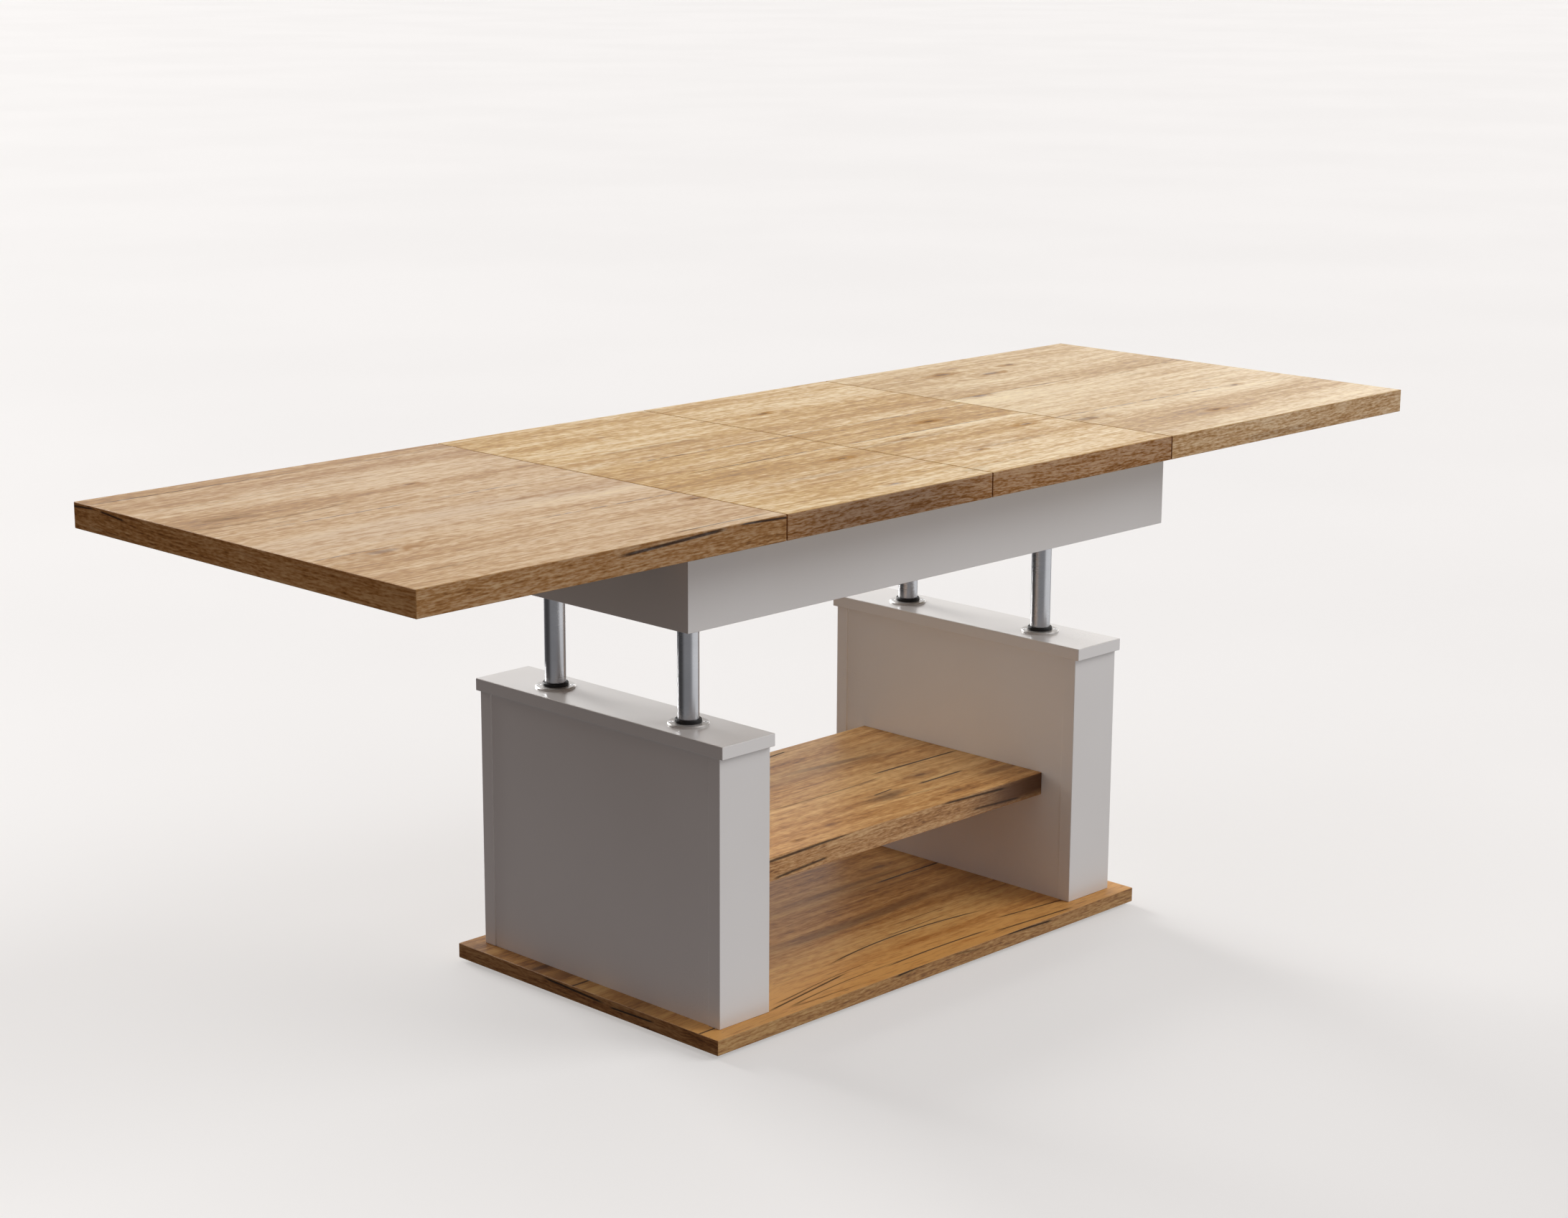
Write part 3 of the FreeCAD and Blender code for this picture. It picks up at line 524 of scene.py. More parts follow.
    def add_marks(self, g: Surface, lay: Lay, sway: Value,
                  crack: Value) -> tuple[Value, Value | float]:
        """Draw the filled cracks and the stains.

        Args:
            g: The material's graph.
            lay: The decor's coordinates.
            sway: The slow sway of the grain.
            crack: The fine crazing that the cracks join.

        Returns:
            All the cracks, and the stains.
        """
        stain: Value | float = 0.0
        for mark in self.cracks:
            step = lay.along - mark.along
            share = abs(step) * (2.0 / mark.length)
            middle = lay.across + sway * self.MARK_SWAY - mark.across - step * mark.slope
            middle = middle - share * share * mark.bow
            wide = mark.width > STAIN_WIDTH
            body = 1.0 - g.smooth(abs(middle), mark.width * self.MARK_CORE, mark.width)
            fade = g.smooth(share, self.STAIN_FADE if wide else self.CRACK_FADE, 1.0)
            body = body * (1.0 - fade) * mark.dark
            if wide:
                stain = g.math("MAXIMUM", stain, body)
            else:
                crack = g.math("MAXIMUM", crack, body)
        return crack, stain

    def material(self) -> bpy.types.Material:
        """Make the decor.

        Returns:
            The decor as a material.
        """
        g = Surface(self.name)
        lay = self.lay(g)
        along, flat = lay.along, lay.flat
        edge = 1.0 - flat
        sway = self.noise(g, self.SWAY, along, lay.across) - MIDDLE
        broken = self.noise(g, self.BREAKS, along, lay.across) * self.BREAK_SPAN + self.BREAK_LEAST
        grain, halo, core = self.add_knots(g, lay, lay.across + sway * self.GRAIN_SWAY, broken)
        grain, plank, seam = self.add_planks(g, lay, grain, broken)

        broad = self.noise(g, self.BROAD, along, grain)
        streak = self.noise(g, self.STREAK, along, grain)
        closer = 1.0 + edge * self.CLOSER_ON_EDGES
        fine = self.noise(g, self.FINE, along * closer, grain * closer)
        fibre = self.noise(g, self.FIBRE, along * closer, grain * closer)
        mottle = self.noise(g, self.MOTTLE, along, grain)
        ring = g.math("FRACT", grain * self.RINGS + broad.swing(self.RING_WOBBLE))
        ring = g.smooth(ring, *self.RING_RISE) * (1.0 - g.smooth(ring, *self.RING_FALL))
        tone = broad.swing(self.BROAD.amount) + streak.swing(self.streaks)
        tone = tone + mottle.swing(flat) * self.MOTTLE.amount
        for noise, layer in ((fine, self.FINE), (fibre, self.FIBRE)):
            tone = tone + noise.swing(layer.amount + edge * layer.more_on_edges)
        front = g.smooth(lay.across, *self.FRONT_STRIP)
        plank = plank + front * self.pale_front
        tone = (tone - ring * self.RING_DEPTH) * (1.0 + flat * (self.contrast - 1.0))
        tone = self.MIDDLE_TONE + tone + plank * flat
        colour = g.node("ShaderNodeValToRGB", {"stops": self.stops}, {0: tone})
        colour = g.mix(self.patches(g, self.WOOD, along, grain) * self.bands, colour, self.heart)

        thread = self.noise(g, self.THREAD, along, grain)
        crack = 1.0 - g.smooth(abs(thread - MIDDLE), *self.CRAZING_WIDTH)
        crack = crack * self.patches(g, self.CRAZING, along, grain) * self.cracking
        crack, stain = self.add_marks(g, lay, sway, crack)
        pore = self.patches(g, self.PORE, along, grain)
        fleck = self.patches(g, self.FLECK, along, grain)
        speck = g.math("MAXIMUM", pore * self.PORE_SHARE, fleck * self.FLECK_SHARE)
        colour = g.mix(speck, colour, self.heart)
        colour = g.mix(halo * flat, colour, self.heart)
        colour = g.mix(stain, colour, self.pith)
        colour = g.mix(g.math("MAXIMUM", core, seam * self.SEAM_SHARE) * flat, colour, self.pith)
        colour = g.mix(crack, colour, self.filler)

        # The faces carry painted light and shade from the face tint.
        face = g.mix(1.0, colour, self.face_tone_and_painted_light, "MULTIPLY")
        face = g.mix(front, face, self.front_tint, "MULTIPLY")
        # The long edges and short ends carry painted shade from their tints, partly their bands' own tone.
        long_edge_painted_light = g.mix(1.0, colour, self.edge_tone_and_painted_light, "MULTIPLY")
        short_edge_painted_light = g.mix(1.0, colour, self.end_tone_and_painted_light, "MULTIPLY")
        relief = fine * self.FINE_RELIEF - pore * self.PORE_RELIEF
        relief = relief - fleck * self.FLECK_RELIEF - crack * self.CRACK_RELIEF
        rougher = g.math("MAXIMUM", crack, halo * flat) * self.MARK_ROUGHNESS
        coat: Value | float = 0.0
        if self.sheen:
            coat = MIDDLE + g.smooth(tone, *self.SHEEN_TONES).swing(self.sheen)
        return g.close({
            "Base Color": g.mix(flat, g.mix(lay.short, long_edge_painted_light, short_edge_painted_light), face),
            "Roughness": self.roughness + fine.swing(self.FINE_ROUGHNESS) + rougher,
            "Specular IOR Level": self.gloss,
            "Coat Weight": coat,
            "Coat Roughness": self.roughness,
            "Normal": g.bump(relief, self.RELIEF_STRENGTH, self.RELIEF_HEIGHT),
        })


@dataclass(frozen=True)
class WhiteLaminate:
    """Satin white board with a faint orange-peel texture and a softer tone at its rounded edges."""

    name: str = "white_laminate_satin"
    colour: Colour = tint(231, 229, 227)
    shade: Colour = tint(223, 220, 217)
    roughness: float = 0.30
    coat: float = 0.0

    ARRIS = (0.90, 0.985)
    ARRIS_SHARE = 0.4
    CLOUD_SCALE = 3.0
    CLOUD = (0.35, 0.70)
    CLOUD_SHARE = 0.5
    CLOUD_ROUGHNESS = 0.10
    PEEL_SCALE = 700.0
    PEEL_ROUGHNESS = 0.05
    PEEL_STRENGTH = 0.05
    PEEL_HEIGHT = 0.0002
    COAT_ROUGHNESS = 0.25

    def material(self) -> bpy.types.Material:
        """Make the finish.

        Returns:
            The finish as a material.
        """
        g = Surface(self.name)
        nx, ny, nz = g.coordinates("Normal")
        largest = g.math("MAXIMUM", abs(nx), g.math("MAXIMUM", abs(ny), abs(nz)))
        arris = 1.0 - g.smooth(largest, *self.ARRIS)
        cloud = g.texture((self.CLOUD_SCALE,) * 3, detail=3.0)
        peel = g.texture((self.PEEL_SCALE,) * 3, detail=1.0)
        shaded = g.smooth(cloud, *self.CLOUD) * self.CLOUD_SHARE + arris * self.ARRIS_SHARE
        rougher = cloud.swing(self.CLOUD_ROUGHNESS)
        return g.close({
            "Base Color": g.mix(shaded, self.colour, self.shade),
            "Roughness": self.roughness + rougher + peel.swing(self.PEEL_ROUGHNESS),
            "Coat Weight": self.coat,
            "Coat Roughness": self.COAT_ROUGHNESS,
            "Normal": g.bump(peel, self.PEEL_STRENGTH, self.PEEL_HEIGHT),
        })


@dataclass(frozen=True)
class Metal:
    """Bare or plated metal with fine tool marks along one direction."""

    name: str
    colour: Colour
    dull: Colour
    roughness: float
    marks: Triple = (60.0, 60.0, 900.0)
    mark_depth: float = 0.04
    metallic: float = 1.0

    MARK_ROUGHNESS = 0.12
    MARK_HEIGHT = 0.0002
    CLOUD_SCALE = 14.0
    CLOUD = (0.40, 0.75)
    CLOUD_SHARE = 0.6
    CLOUD_ROUGHNESS = 0.08

    def material(self) -> bpy.types.Material:
        """Make the finish.

        Returns:
            The finish as a material.
        """
        g = Surface(self.name)
        mark = g.texture(self.marks)
        cloud = g.texture((self.CLOUD_SCALE,) * 3, detail=3.0)
        duller = g.smooth(cloud, *self.CLOUD) * self.CLOUD_SHARE
        rougher = mark.swing(self.MARK_ROUGHNESS)
        return g.close({
            "Base Color": g.mix(duller, self.colour, self.dull),
            "Metallic": self.metallic,
            "Roughness": self.roughness + rougher + cloud.swing(self.CLOUD_ROUGHNESS),
            "Normal": g.bump(mark, self.mark_depth, self.MARK_HEIGHT),
        })


@dataclass(frozen=True)
class Moulded:
    """Moulded plastic or rubber with a fine grain."""

    name: str
    colour: Colour
    worn: Colour
    roughness: float
    grain: float = 900.0

    WEAR_SCALE = 25.0
    WEAR = (0.4, 0.8)
    PIT_ROUGHNESS = 0.15
    PIT_STRENGTH = 0.15
    PIT_HEIGHT = 0.0002

    def material(self) -> bpy.types.Material:
        """Make the finish.

        Returns:
            The finish as a material.
        """
        g = Surface(self.name)
        pits = g.texture((self.grain,) * 3)
        wear = g.smooth(g.texture((self.WEAR_SCALE,) * 3, detail=3.0), *self.WEAR)
        return g.close({
            "Base Color": g.mix(wear, self.colour, self.worn),
            "Roughness": self.roughness + pits.swing(self.PIT_ROUGHNESS),
            "Normal": g.bump(pits, self.PIT_STRENGTH, self.PIT_HEIGHT),
        })


@dataclass(frozen=True)
class PlainWood:
    """Unpainted beech, or the pressed fibres of raw board."""

    name: str
    pale: Colour
    dark: Colour
    fibres: Triple = (6.0, 160.0, 160.0)
    roughness: float = 0.55

    RAY_SCALES = (9.0, 3.0, 3.0)
    FIBRE = (0.3, 0.7)
    FIBRE_SHARE = 0.8
    RAY = (0.62, 0.75)
    RAY_SHARE = 0.4
    FIBRE_ROUGHNESS = 0.15
    FIBRE_STRENGTH = 0.2
    FIBRE_HEIGHT = 0.0003

    def material(self) -> bpy.types.Material:
        """Make the finish.

        Returns:
            The finish as a material.
        """
        g = Surface(self.name)
        rays = tuple(scale * share for scale, share in zip(self.fibres, self.RAY_SCALES))
        fibre = g.texture(self.fibres, detail=3.0)
        ray = g.texture(rays, detail=1.0)
        tone = g.smooth(fibre, *self.FIBRE) * self.FIBRE_SHARE
        tone = tone + g.smooth(ray, *self.RAY) * self.RAY_SHARE
        return g.close({
            "Base Color": g.mix(tone, self.pale, self.dark),
            "Roughness": self.roughness + fibre.swing(self.FIBRE_ROUGHNESS),
            "Normal": g.bump(fibre, self.FIBRE_STRENGTH, self.FIBRE_HEIGHT),
        })


def dress(node: str, material: bpy.types.Material) -> None:
    """Give a CAD node its finish and report it.

    Args:
        node: The node's name.
        material: The finish.
    """
    for slot in frame["nodes"][node].material_slots:
        slot.material = material
    LOG.info("%s: %s", node, material.name)


def body_of(node: str) -> str:
    """Return the body that a CAD node rides on."""
    return frame["nodes"][node]["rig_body"]


@dataclass(frozen=True)
class ScrewPlace:
    """Where one screw sits: the middle of its head's face, and the way it points."""

    head: Vector
    axis: Vector


class ScrewTree:
    """The Geometry Nodes tree that sets a cross-head screw on every point of a mesh."""

    SIZES = ("Head Diameter", "Shank Diameter", "Length", "Recess Width", "Recess Depth", "Thread Pitch")
    AXIS = "axis"
    CORE_SHARE = 0.74
    TIP_SHARE = 0.9
    POINT_SHARE = 0.1
    ARM_SHARE = 0.62
    HEAD_SIDES = 40
    SHANK_SIDES = 20
    COIL_STEPS = 16
    RIDGE_SIDES = 4

    def __init__(self) -> None:
        """Build the tree."""
        self.tree = bpy.data.node_groups.new("cross_head_screws", "GeometryNodeTree")
        face = self.tree.interface
        face.new_socket("Geometry", in_out="INPUT", socket_type="NodeSocketGeometry")
        for name in self.SIZES:
            face.new_socket(name, in_out="INPUT", socket_type="NodeSocketFloat")
        face.new_socket("Finish", in_out="INPUT", socket_type="NodeSocketMaterial")
        face.new_socket("Geometry", in_out="OUTPUT", socket_type="NodeSocketGeometry")
        g = Graph(self.tree)
        source = g.node("NodeGroupInput").socket.node
        given = {socket.name: Value(g, socket) for socket in source.outputs}
        screw = self.screw(g, given)
        points = g.node("GeometryNodeMeshToPoints", {}, {"Mesh": given["Geometry"]})
        axis = g.node("GeometryNodeInputNamedAttribute", {"data_type": "FLOAT_VECTOR"}, {"Name": self.AXIS})
        turn = g.node("FunctionNodeAlignRotationToVector", {"axis": "Z"}, {"Vector": axis})
        placed = g.node("GeometryNodeInstanceOnPoints", {},
                        {"Points": points, "Instance": screw, "Rotation": turn})
        real = g.node("GeometryNodeRealizeInstances", {}, {"Geometry": placed})
        dressed = g.node("GeometryNodeSetMaterial", {}, {"Geometry": real, "Material": given["Finish"]})
        end = self.tree.nodes.new("NodeGroupOutput")
        self.tree.links.new(dressed.socket, end.inputs["Geometry"])

    @staticmethod
    def raised(g: Graph, shape: Value, height: Value) -> Value:
        """Return a shape moved along Z."""
        return g.node("GeometryNodeTransform", {},
                      {"Geometry": shape, "Translation": g.join(0.0, 0.0, height)})

    def screw(self, g: Graph, given: dict[str, Value]) -> Value:
        """Make one screw with its head face at the origin, pointing along Z.

        Args:
            g: The tree to build in.
            given: The tree's inputs by name.

        Returns:
            The screw's geometry.
        """
        head = given["Head Diameter"] * 0.5
        thread_radius = given["Shank Diameter"] * 0.5
        core = thread_radius * self.CORE_SHARE
        taper = head - thread_radius
        tip = given["Shank Diameter"] * self.TIP_SHARE
        shank = given["Length"] - taper - tip
        cone = g.node("GeometryNodeMeshCone", {"fill_type": "NGON"},
                      {"Vertices": self.HEAD_SIDES, "Radius Top": core, "Radius Bottom": head,
                       "Depth": taper})
        width = given["Recess Width"]
        arm = given["Head Diameter"] * self.ARM_SHARE
        deep = given["Recess Depth"] * 2.0
        bars = [g.node("GeometryNodeMeshCube", {}, {"Size": g.join(*size)})
                for size in ((width, arm, deep), (arm, width, deep))]
        topped = g.node("GeometryNodeMeshBoolean", {"operation": "DIFFERENCE"},
                        {"Mesh 1": cone, "Mesh 2": bars})
        rod = g.node("GeometryNodeMeshCylinder", {"fill_type": "NGON"},
                     {"Vertices": self.SHANK_SIDES, "Radius": core, "Depth": shank})
        point = g.node("GeometryNodeMeshCone", {"fill_type": "NGON"},
                       {"Vertices": self.SHANK_SIDES, "Radius Top": core * self.POINT_SHARE,
                        "Radius Bottom": core, "Depth": tip})
        coil = g.node("GeometryNodeCurveSpiral", {},
                      {"Resolution": self.COIL_STEPS, "Rotations": shank / given["Thread Pitch"],
                       "Start Radius": core, "End Radius": core, "Height": shank})
        ridge = g.node("GeometryNodeCurvePrimitiveCircle", {},
                       {"Resolution": self.RIDGE_SIDES, "Radius": thread_radius - core})
        thread = g.node("GeometryNodeCurveToMesh", {},
                        {"Curve": coil, "Profile Curve": ridge, "Fill Caps": True})
        pieces = [topped, self.raised(g, rod, taper + shank * 0.5), self.raised(g, point, taper + shank),
                  self.raised(g, thread, taper)]
        return g.node("GeometryNodeJoinGeometry", {}, {"Geometry": pieces})


@dataclass
class ScrewSet:
    """All the screws of one CAD node, made with threads and cross recesses."""

    node: str
    slot: Slot
    recess_width: float = 0.00125
    recess_depth: float = 0.0013
    thread_pitch: float = 0.0016
    round_up: float = 1e-6
    sharp_degrees: float = 35.0

    PLACE_DIGITS = 5
    LEVEL_DIGITS = 6

    @staticmethod
    def box(points: list[Vector]) -> tuple[Vector, Vector]:
        """Return the low and the high corner of the box round some points."""
        low, high = (Vector([pick(p[i] for p in points) for i in range(3)]) for pick in (min, max))
        return low, high

    def centre(self, points: list[Vector]) -> Triple:
        """Return the middle of a screw's box, rounded, by which screws are put in order."""
        low, high = self.box(points)
        return tuple(round(part, self.PLACE_DIGITS) for part in (low + high) / 2)

    def islands(self) -> list[list[Vector]]:
        """Find the plain screws in the CAD node.

        Returns:
            The corner points of each.
        """
        plain = bmesh.new()
        plain.from_mesh(frame["nodes"][self.node].data)
        bmesh.ops.remove_doubles(plain, verts=plain.verts, dist=self.round_up)
        left = set(plain.verts)
        groups = []
        while left:
            waiting = [left.pop()]
            group = []
            while waiting:
                corner = waiting.pop()
                group.append(corner.co.copy())
                for edge in corner.link_edges:
                    other = edge.other_vert(corner)
                    if other in left:
                        left.remove(other)
                        waiting.append(other)
            groups.append(group)
        plain.free()
        return sorted(groups, key=self.centre)

    def measure(self, points: list[Vector]) -> tuple[ScrewPlace, Triple]:
        """Find where a plain screw sits and how big it is.

        Args:
            points: The corner points of the plain screw.

        Returns:
            Its place, and its head diameter, shank diameter and length.
        """
        low, high = self.box(points)
        size = high - low
        way = max(range(3), key=lambda i: size[i])
        middle = (low + high) / 2
        off_axis = {}
        for p in points:
            away = p - middle
            away[way] = 0.0
            level = round(p[way], self.LEVEL_DIGITS)
            off_axis[level] = max(off_axis.get(level, 0.0), away.length)
        head_level = max(off_axis, key=lambda level: off_axis[level])
        axis = Vector((0.0, 0.0, 0.0))
        axis[way] = 1.0 if head_level < middle[way] else -1.0
        head = middle.copy()
        head[way] = low[way] if axis[way] > 0 else high[way]
        tip_level = max(off_axis) if axis[way] > 0 else min(off_axis)
        return ScrewPlace(head, axis), (2 * off_axis[head_level], 2 * off_axis[tip_level], size[way])

    def build(self, tree: ScrewTree, finish: bpy.types.Material) -> bpy.types.Object:
        """Make the screws and let them stand for the plain ones.

        Args:
            tree: The tree that makes a screw.
            finish: The screws' material.

        Returns:
            The finished piece.
        """
        found = [self.measure(points) for points in self.islands()]
        mesh = bpy.data.meshes.new(self.node + "_points")
        mesh.from_pydata([place.head for place, _ in found], [], [])
        axes = mesh.attributes.new(ScrewTree.AXIS, "FLOAT_VECTOR", "POINT")
        for item, (place, _) in zip(axes.data, found):
            item.vector = place.axis
        maker = bpy.data.objects.new(self.node + "_maker", mesh)
        bpy.context.scene.collection.objects.link(maker)
        modifier = maker.modifiers.new("screws", "NODES")
        modifier.node_group = tree.tree
        sizes = dict(zip(ScrewTree.SIZES, (*found[0][1], self.recess_width, self.recess_depth,
                                           self.thread_pitch)))
        for item in tree.tree.interface.items_tree:
            if item.in_out == "INPUT" and item.name in sizes:
                modifier[item.identifier] = sizes[item.name]
            elif item.in_out == "INPUT" and item.name == "Finish":
                modifier[item.identifier] = finish
        seen = maker.evaluated_get(bpy.context.evaluated_depsgraph_get())
        real = bpy.data.meshes.new_from_object(seen)
        maker.modifiers.remove(modifier)
        bpy.data.objects.remove(maker)
        real.name = self.node + "_crosshead"
        for polygon in real.polygons:
            polygon.use_smooth = True
        real.set_sharp_from_angle(angle=math.radians(self.sharp_degrees))
        piece = bpy.data.objects.new(self.node + "_crosshead", real)
        bpy.context.scene.collection.objects.link(piece)
        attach(piece, body_of(self.node))
        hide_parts(self.node)
        LOG.info("%s: %d screws, %s", piece.name, len(found), finish.name)
        return piece


@dataclass
class Workshop:
    """The finishes and the screw tree that the sub-assemblies share."""

    white: bpy.types.Material
    cap_white: bpy.types.Material
    steel: bpy.types.Material
    collar: bpy.types.Material
    chrome: bpy.types.Material
    zinc: bpy.types.Material
    black_steel: bpy.types.Material
    aluminium: bpy.types.Material
    rubber: bpy.types.Material
    plastic: bpy.types.Material
    beech: bpy.types.Material
    raw_board: bpy.types.Material
    screws: ScrewTree

    @classmethod
    def open(cls) -> "Workshop":
        """Make every shared finish.

        Returns:
            The workshop with the finishes in it.
        """
        return cls(
            white=WhiteLaminate().material(),
            cap_white=WhiteLaminate("white_laminate_coated", coat=0.8).material(),
            steel=Metal("post_steel_satin", tint(196, 197, 200), tint(178, 179, 182), 0.29,
                        mark_depth=0.005).material(),
            collar=Metal("collar_satin", tint(222, 221, 219), tint(208, 207, 205), 0.38,
                         (300.0, 300.0, 300.0), 0.02, 0.6).material(),
            chrome=Metal("chrome_polished", tint(226, 227, 229), tint(206, 207, 210), 0.12,
                         (300.0, 300.0, 300.0), 0.01).material(),
            zinc=Metal("zinc_plate_bright", tint(190, 194, 198), tint(150, 152, 150), 0.34,
                       (200.0, 200.0, 200.0)).material(),
            black_steel=Metal("black_steel_coated", tint(34, 34, 35), tint(46, 46, 47), 0.42,
                              (500.0, 500.0, 500.0), 0.08, 0.2).material(),
            aluminium=Metal("track_aluminium_drawn", tint(186, 188, 190), tint(160, 162, 165), 0.36,
                            (8.0, 900.0, 900.0)).material(),
            rubber=Moulded("wiper_rubber_black", tint(20, 20, 21), tint(32, 31, 31), 0.55).material(),
            plastic=Moulded("black_plastic_grained", tint(26, 26, 27), tint(38, 38, 39), 0.45).material(),
            beech=PlainWood("beech_planed", tint(214, 172, 126), tint(178, 130, 86)).material(),
            raw_board=PlainWood("raw_board_grey", tint(205, 201, 195), tint(178, 172, 164),
                                (120.0, 120.0, 120.0), 0.6).material(),
            screws=ScrewTree(),
        )


class Assembly:
    """A sub-assembly of the table, which dresses its pieces and makes its screws."""

    def dress(self, shop: Workshop) -> None:
        """Give the pieces their finishes."""
        raise NotImplementedError

    def build(self, shop: Workshop) -> None:
        """Make the screws, if there are any."""


@dataclass
class TableTop(Assembly):
    """The two end panels, the two leaves, and what slides and holds them."""

    recess_width: float = 0.0013
    # The face tints paint light across the top: the left end darker and redder, the leaves and the right
    # end brighter, as if more light fell toward the right.
    left_end: OakDecor = OakDecor(
        "oak_left_end", 71.0, (0.040, -0.150, 0.315),
        (Knot(-0.905, -0.165, 0.020, 0.45), Knot(-0.415, -0.195, 0.008), Knot(-0.62, 0.14, 0.008, 0.5)),
        (Crack(-0.81, 0.315, 0.36, 0.0022, dark=0.6), Crack(-0.80, 0.222, 0.40, 0.0016, dark=0.35),
         Crack(-0.50, -0.331, 0.18, 0.0030, 0.02, dark=0.7),
         Crack(-0.88, 0.082, 0.30, 0.004, 0.02, 0.02, 0.35),
         Crack(-0.60, EdgeFace.FRONT.across(0.742), 0.20, 0.0032, 0.04, dark=0.95),
         Crack(-0.44, EdgeFace.FRONT.across(0.746), 0.10, 0.0022, -0.035, dark=0.95),
         Crack(0.331, EdgeFace.LEFT.across(0.745), 0.06, 0.0020, -0.06, dark=0.9),
         Crack(0.262, EdgeFace.LEFT.across(0.744), 0.06, 0.0020, 0.07, dark=0.9)),
        bands=0.25, cracking=0.25, face_tone_and_painted_light=(0.90, 0.95, 0.81, 1.0), edge_tone_and_painted_light=(0.76, 0.75, 0.74, 1.0),
        end_tone_and_painted_light=(0.96, 0.86, 0.72, 1.0), gloss=0.05, sheen=0.7, filler=tint(64, 44, 30))
    leaves: OakDecor = OakDecor(
        "oak_leaves", 11.0, (-0.065, 0.042),
        (Knot(0.238, -0.020, 0.009), Knot(0.108, -0.090, 0.007), Knot(0.328, -0.135, 0.009),
         Knot(0.118, -0.225, 0.006), Knot(-0.072, -0.135, 0.008), Knot(-0.155, -0.310, 0.008),
         Knot(0.108, 0.200, 0.009)),
        (Crack(0.145, -0.066, 0.30, 0.0018, dark=0.75), Crack(-0.205, -0.066, 0.20, 0.0018, dark=0.75),
         Crack(0.110, 0.043, 0.22, 0.0015, dark=0.5), Crack(-0.240, 0.041, 0.10, 0.0015, dark=0.5),
         Crack(0.10, -0.100, 0.34, 0.012, 0.02, dark=0.25),
         Crack(-0.15, -0.200, 0.30, 0.010, -0.02, dark=0.22),
         Crack(0.20, -0.215, 0.25, 0.008, 0.015, dark=0.25), Crack(-0.20, 0.120, 0.30, 0.012, dark=0.20),
         Crack(-0.22, EdgeFace.FRONT.across(0.732), 0.54, 0.032, dark=0.45)),
        bands=0.25, cracking=0.2, face_tone_and_painted_light=(1.06, 1.19, 0.87, 1.0), edge_tone_and_painted_light=(0.66, 0.58, 0.50, 1.0),
        gloss=0.05, sheen=1.0, filler=tint(78, 50, 28))
    # The edge tints paint shade on the edge bands of the left end and the leaves, and paint the right end's
    # edge bands paler and bluer, as painted light.
    right_end: OakDecor = OakDecor(
        "oak_right_end", 23.0, (0.085, -0.130),
        (Knot(0.588, 0.260, 0.013), Knot(0.655, 0.215, 0.014), Knot(0.750, 0.255, 0.009),
         Knot(0.470, 0.080, 0.012), Knot(0.430, -0.170, 0.020, 0.5), Knot(0.638, -0.255, 0.008),
         Knot(0.848, -0.135, 0.008)),
        (Crack(0.46, 0.083, 0.12, 0.0022, dark=0.6), Crack(0.70, -0.131, 0.20, 0.0015, dark=0.4)),
        bands=0.22, cracking=0.2, face_tone_and_painted_light=(1.00, 1.13, 0.87, 1.0), edge_tone_and_painted_light=(1.06, 1.19, 1.42, 1.0),
        gloss=0.05, sheen=0.65, filler=tint(78, 50, 28))

    def dress(self, shop: Workshop) -> None:
        """Give the boards their decor and the runners their beech.

        Args:
            shop: The shared finishes.
        """
        leaves = self.leaves.material()
        dress("left_end_panel", self.left_end.material())
        dress("left_leaf", leaves)
        dress("right_leaf", leaves)
        dress("right_end_panel", self.right_end.material())
        for side in ("left", "right"):
            dress(side + "_runners", shop.beech)
            dress(side + "_leaf_cleats", shop.beech)
            dress(side + "_stop_pegs", shop.zinc)

    def build(self, shop: Workshop) -> None:
        """Make the screws of the runners."""
        for side in ("left", "right"):
            ScrewSet(side + "_runner_screws", Slot.ZINC, self.recess_width).build(shop.screws, shop.zinc)


@dataclass
class ApronBox(Assembly):
    """The white box under the top, with its floor, tracks and release gear."""

    recess_width: float = 0.00125
    bearing_pitch: float = 0.0018

    def dress(self, shop: Workshop) -> None:
        """Give the box and the gear in it their finishes.

        Args:
            shop: The shared finishes.
        """
        for side in ("front", "rear", "left", "right"):
            dress("apron_" + side, shop.white)
        dress("apron_floor", shop.raw_board)
        dress("apron_corner_blocks", shop.beech)
        dress("runner_stops", shop.beech)
        for side in ("front", "rear"):
            dress(side + "_runner_track", shop.aluminium)
        for side in ("left", "right"):
            dress(side + "_release_lever", shop.black_steel)
            dress(side + "_valve_pins", shop.zinc)
        dress("lever_bearings", shop.plastic)
        dress("post_flanges", shop.black_steel)

    def build(self, shop: Workshop) -> None:
        """Make the screws of the floor and of the lever bearings."""
        ScrewSet("apron_screws", Slot.ZINC, self.recess_width).build(shop.screws, shop.zinc)
        ScrewSet("bearing_screws", Slot.ZINC, self.recess_width,
                 thread_pitch=self.bearing_pitch).build(shop.screws, shop.zinc)


@dataclass
class LiftColumns(Assembly):
    """The four posts with their springs, guides, collars and wiper rings."""

    recess_width: float = 0.0012
    recess_depth: float = 0.0012

    def dress(self, shop: Workshop) -> None:
        """Give the posts and what guides them their finishes.

        Args:
            shop: The shared finishes.
        """
        for face in ("front", "rear"):
            for side in ("left", "right"):
                dress(f"post_{face}_{side}", shop.steel)
        dress("post_collars", shop.collar)
        dress("wiper_rings", shop.rubber)
        dress("guide_sleeves_upper", shop.plastic)
        dress("guide_sleeves_lower", shop.plastic)
        dress("guide_battens", shop.beech)
        dress("spring_cylinders", shop.black_steel)
        dress("spring_rods", shop.chrome)
        dress("spring_feet", shop.zinc)

    def build(self, shop: Workshop) -> None:
        """Make the screws of the collars."""
        ScrewSet("collar_screws", Slot.CHROME, self.recess_width,
                 self.recess_depth).build(shop.screws, shop.chrome)


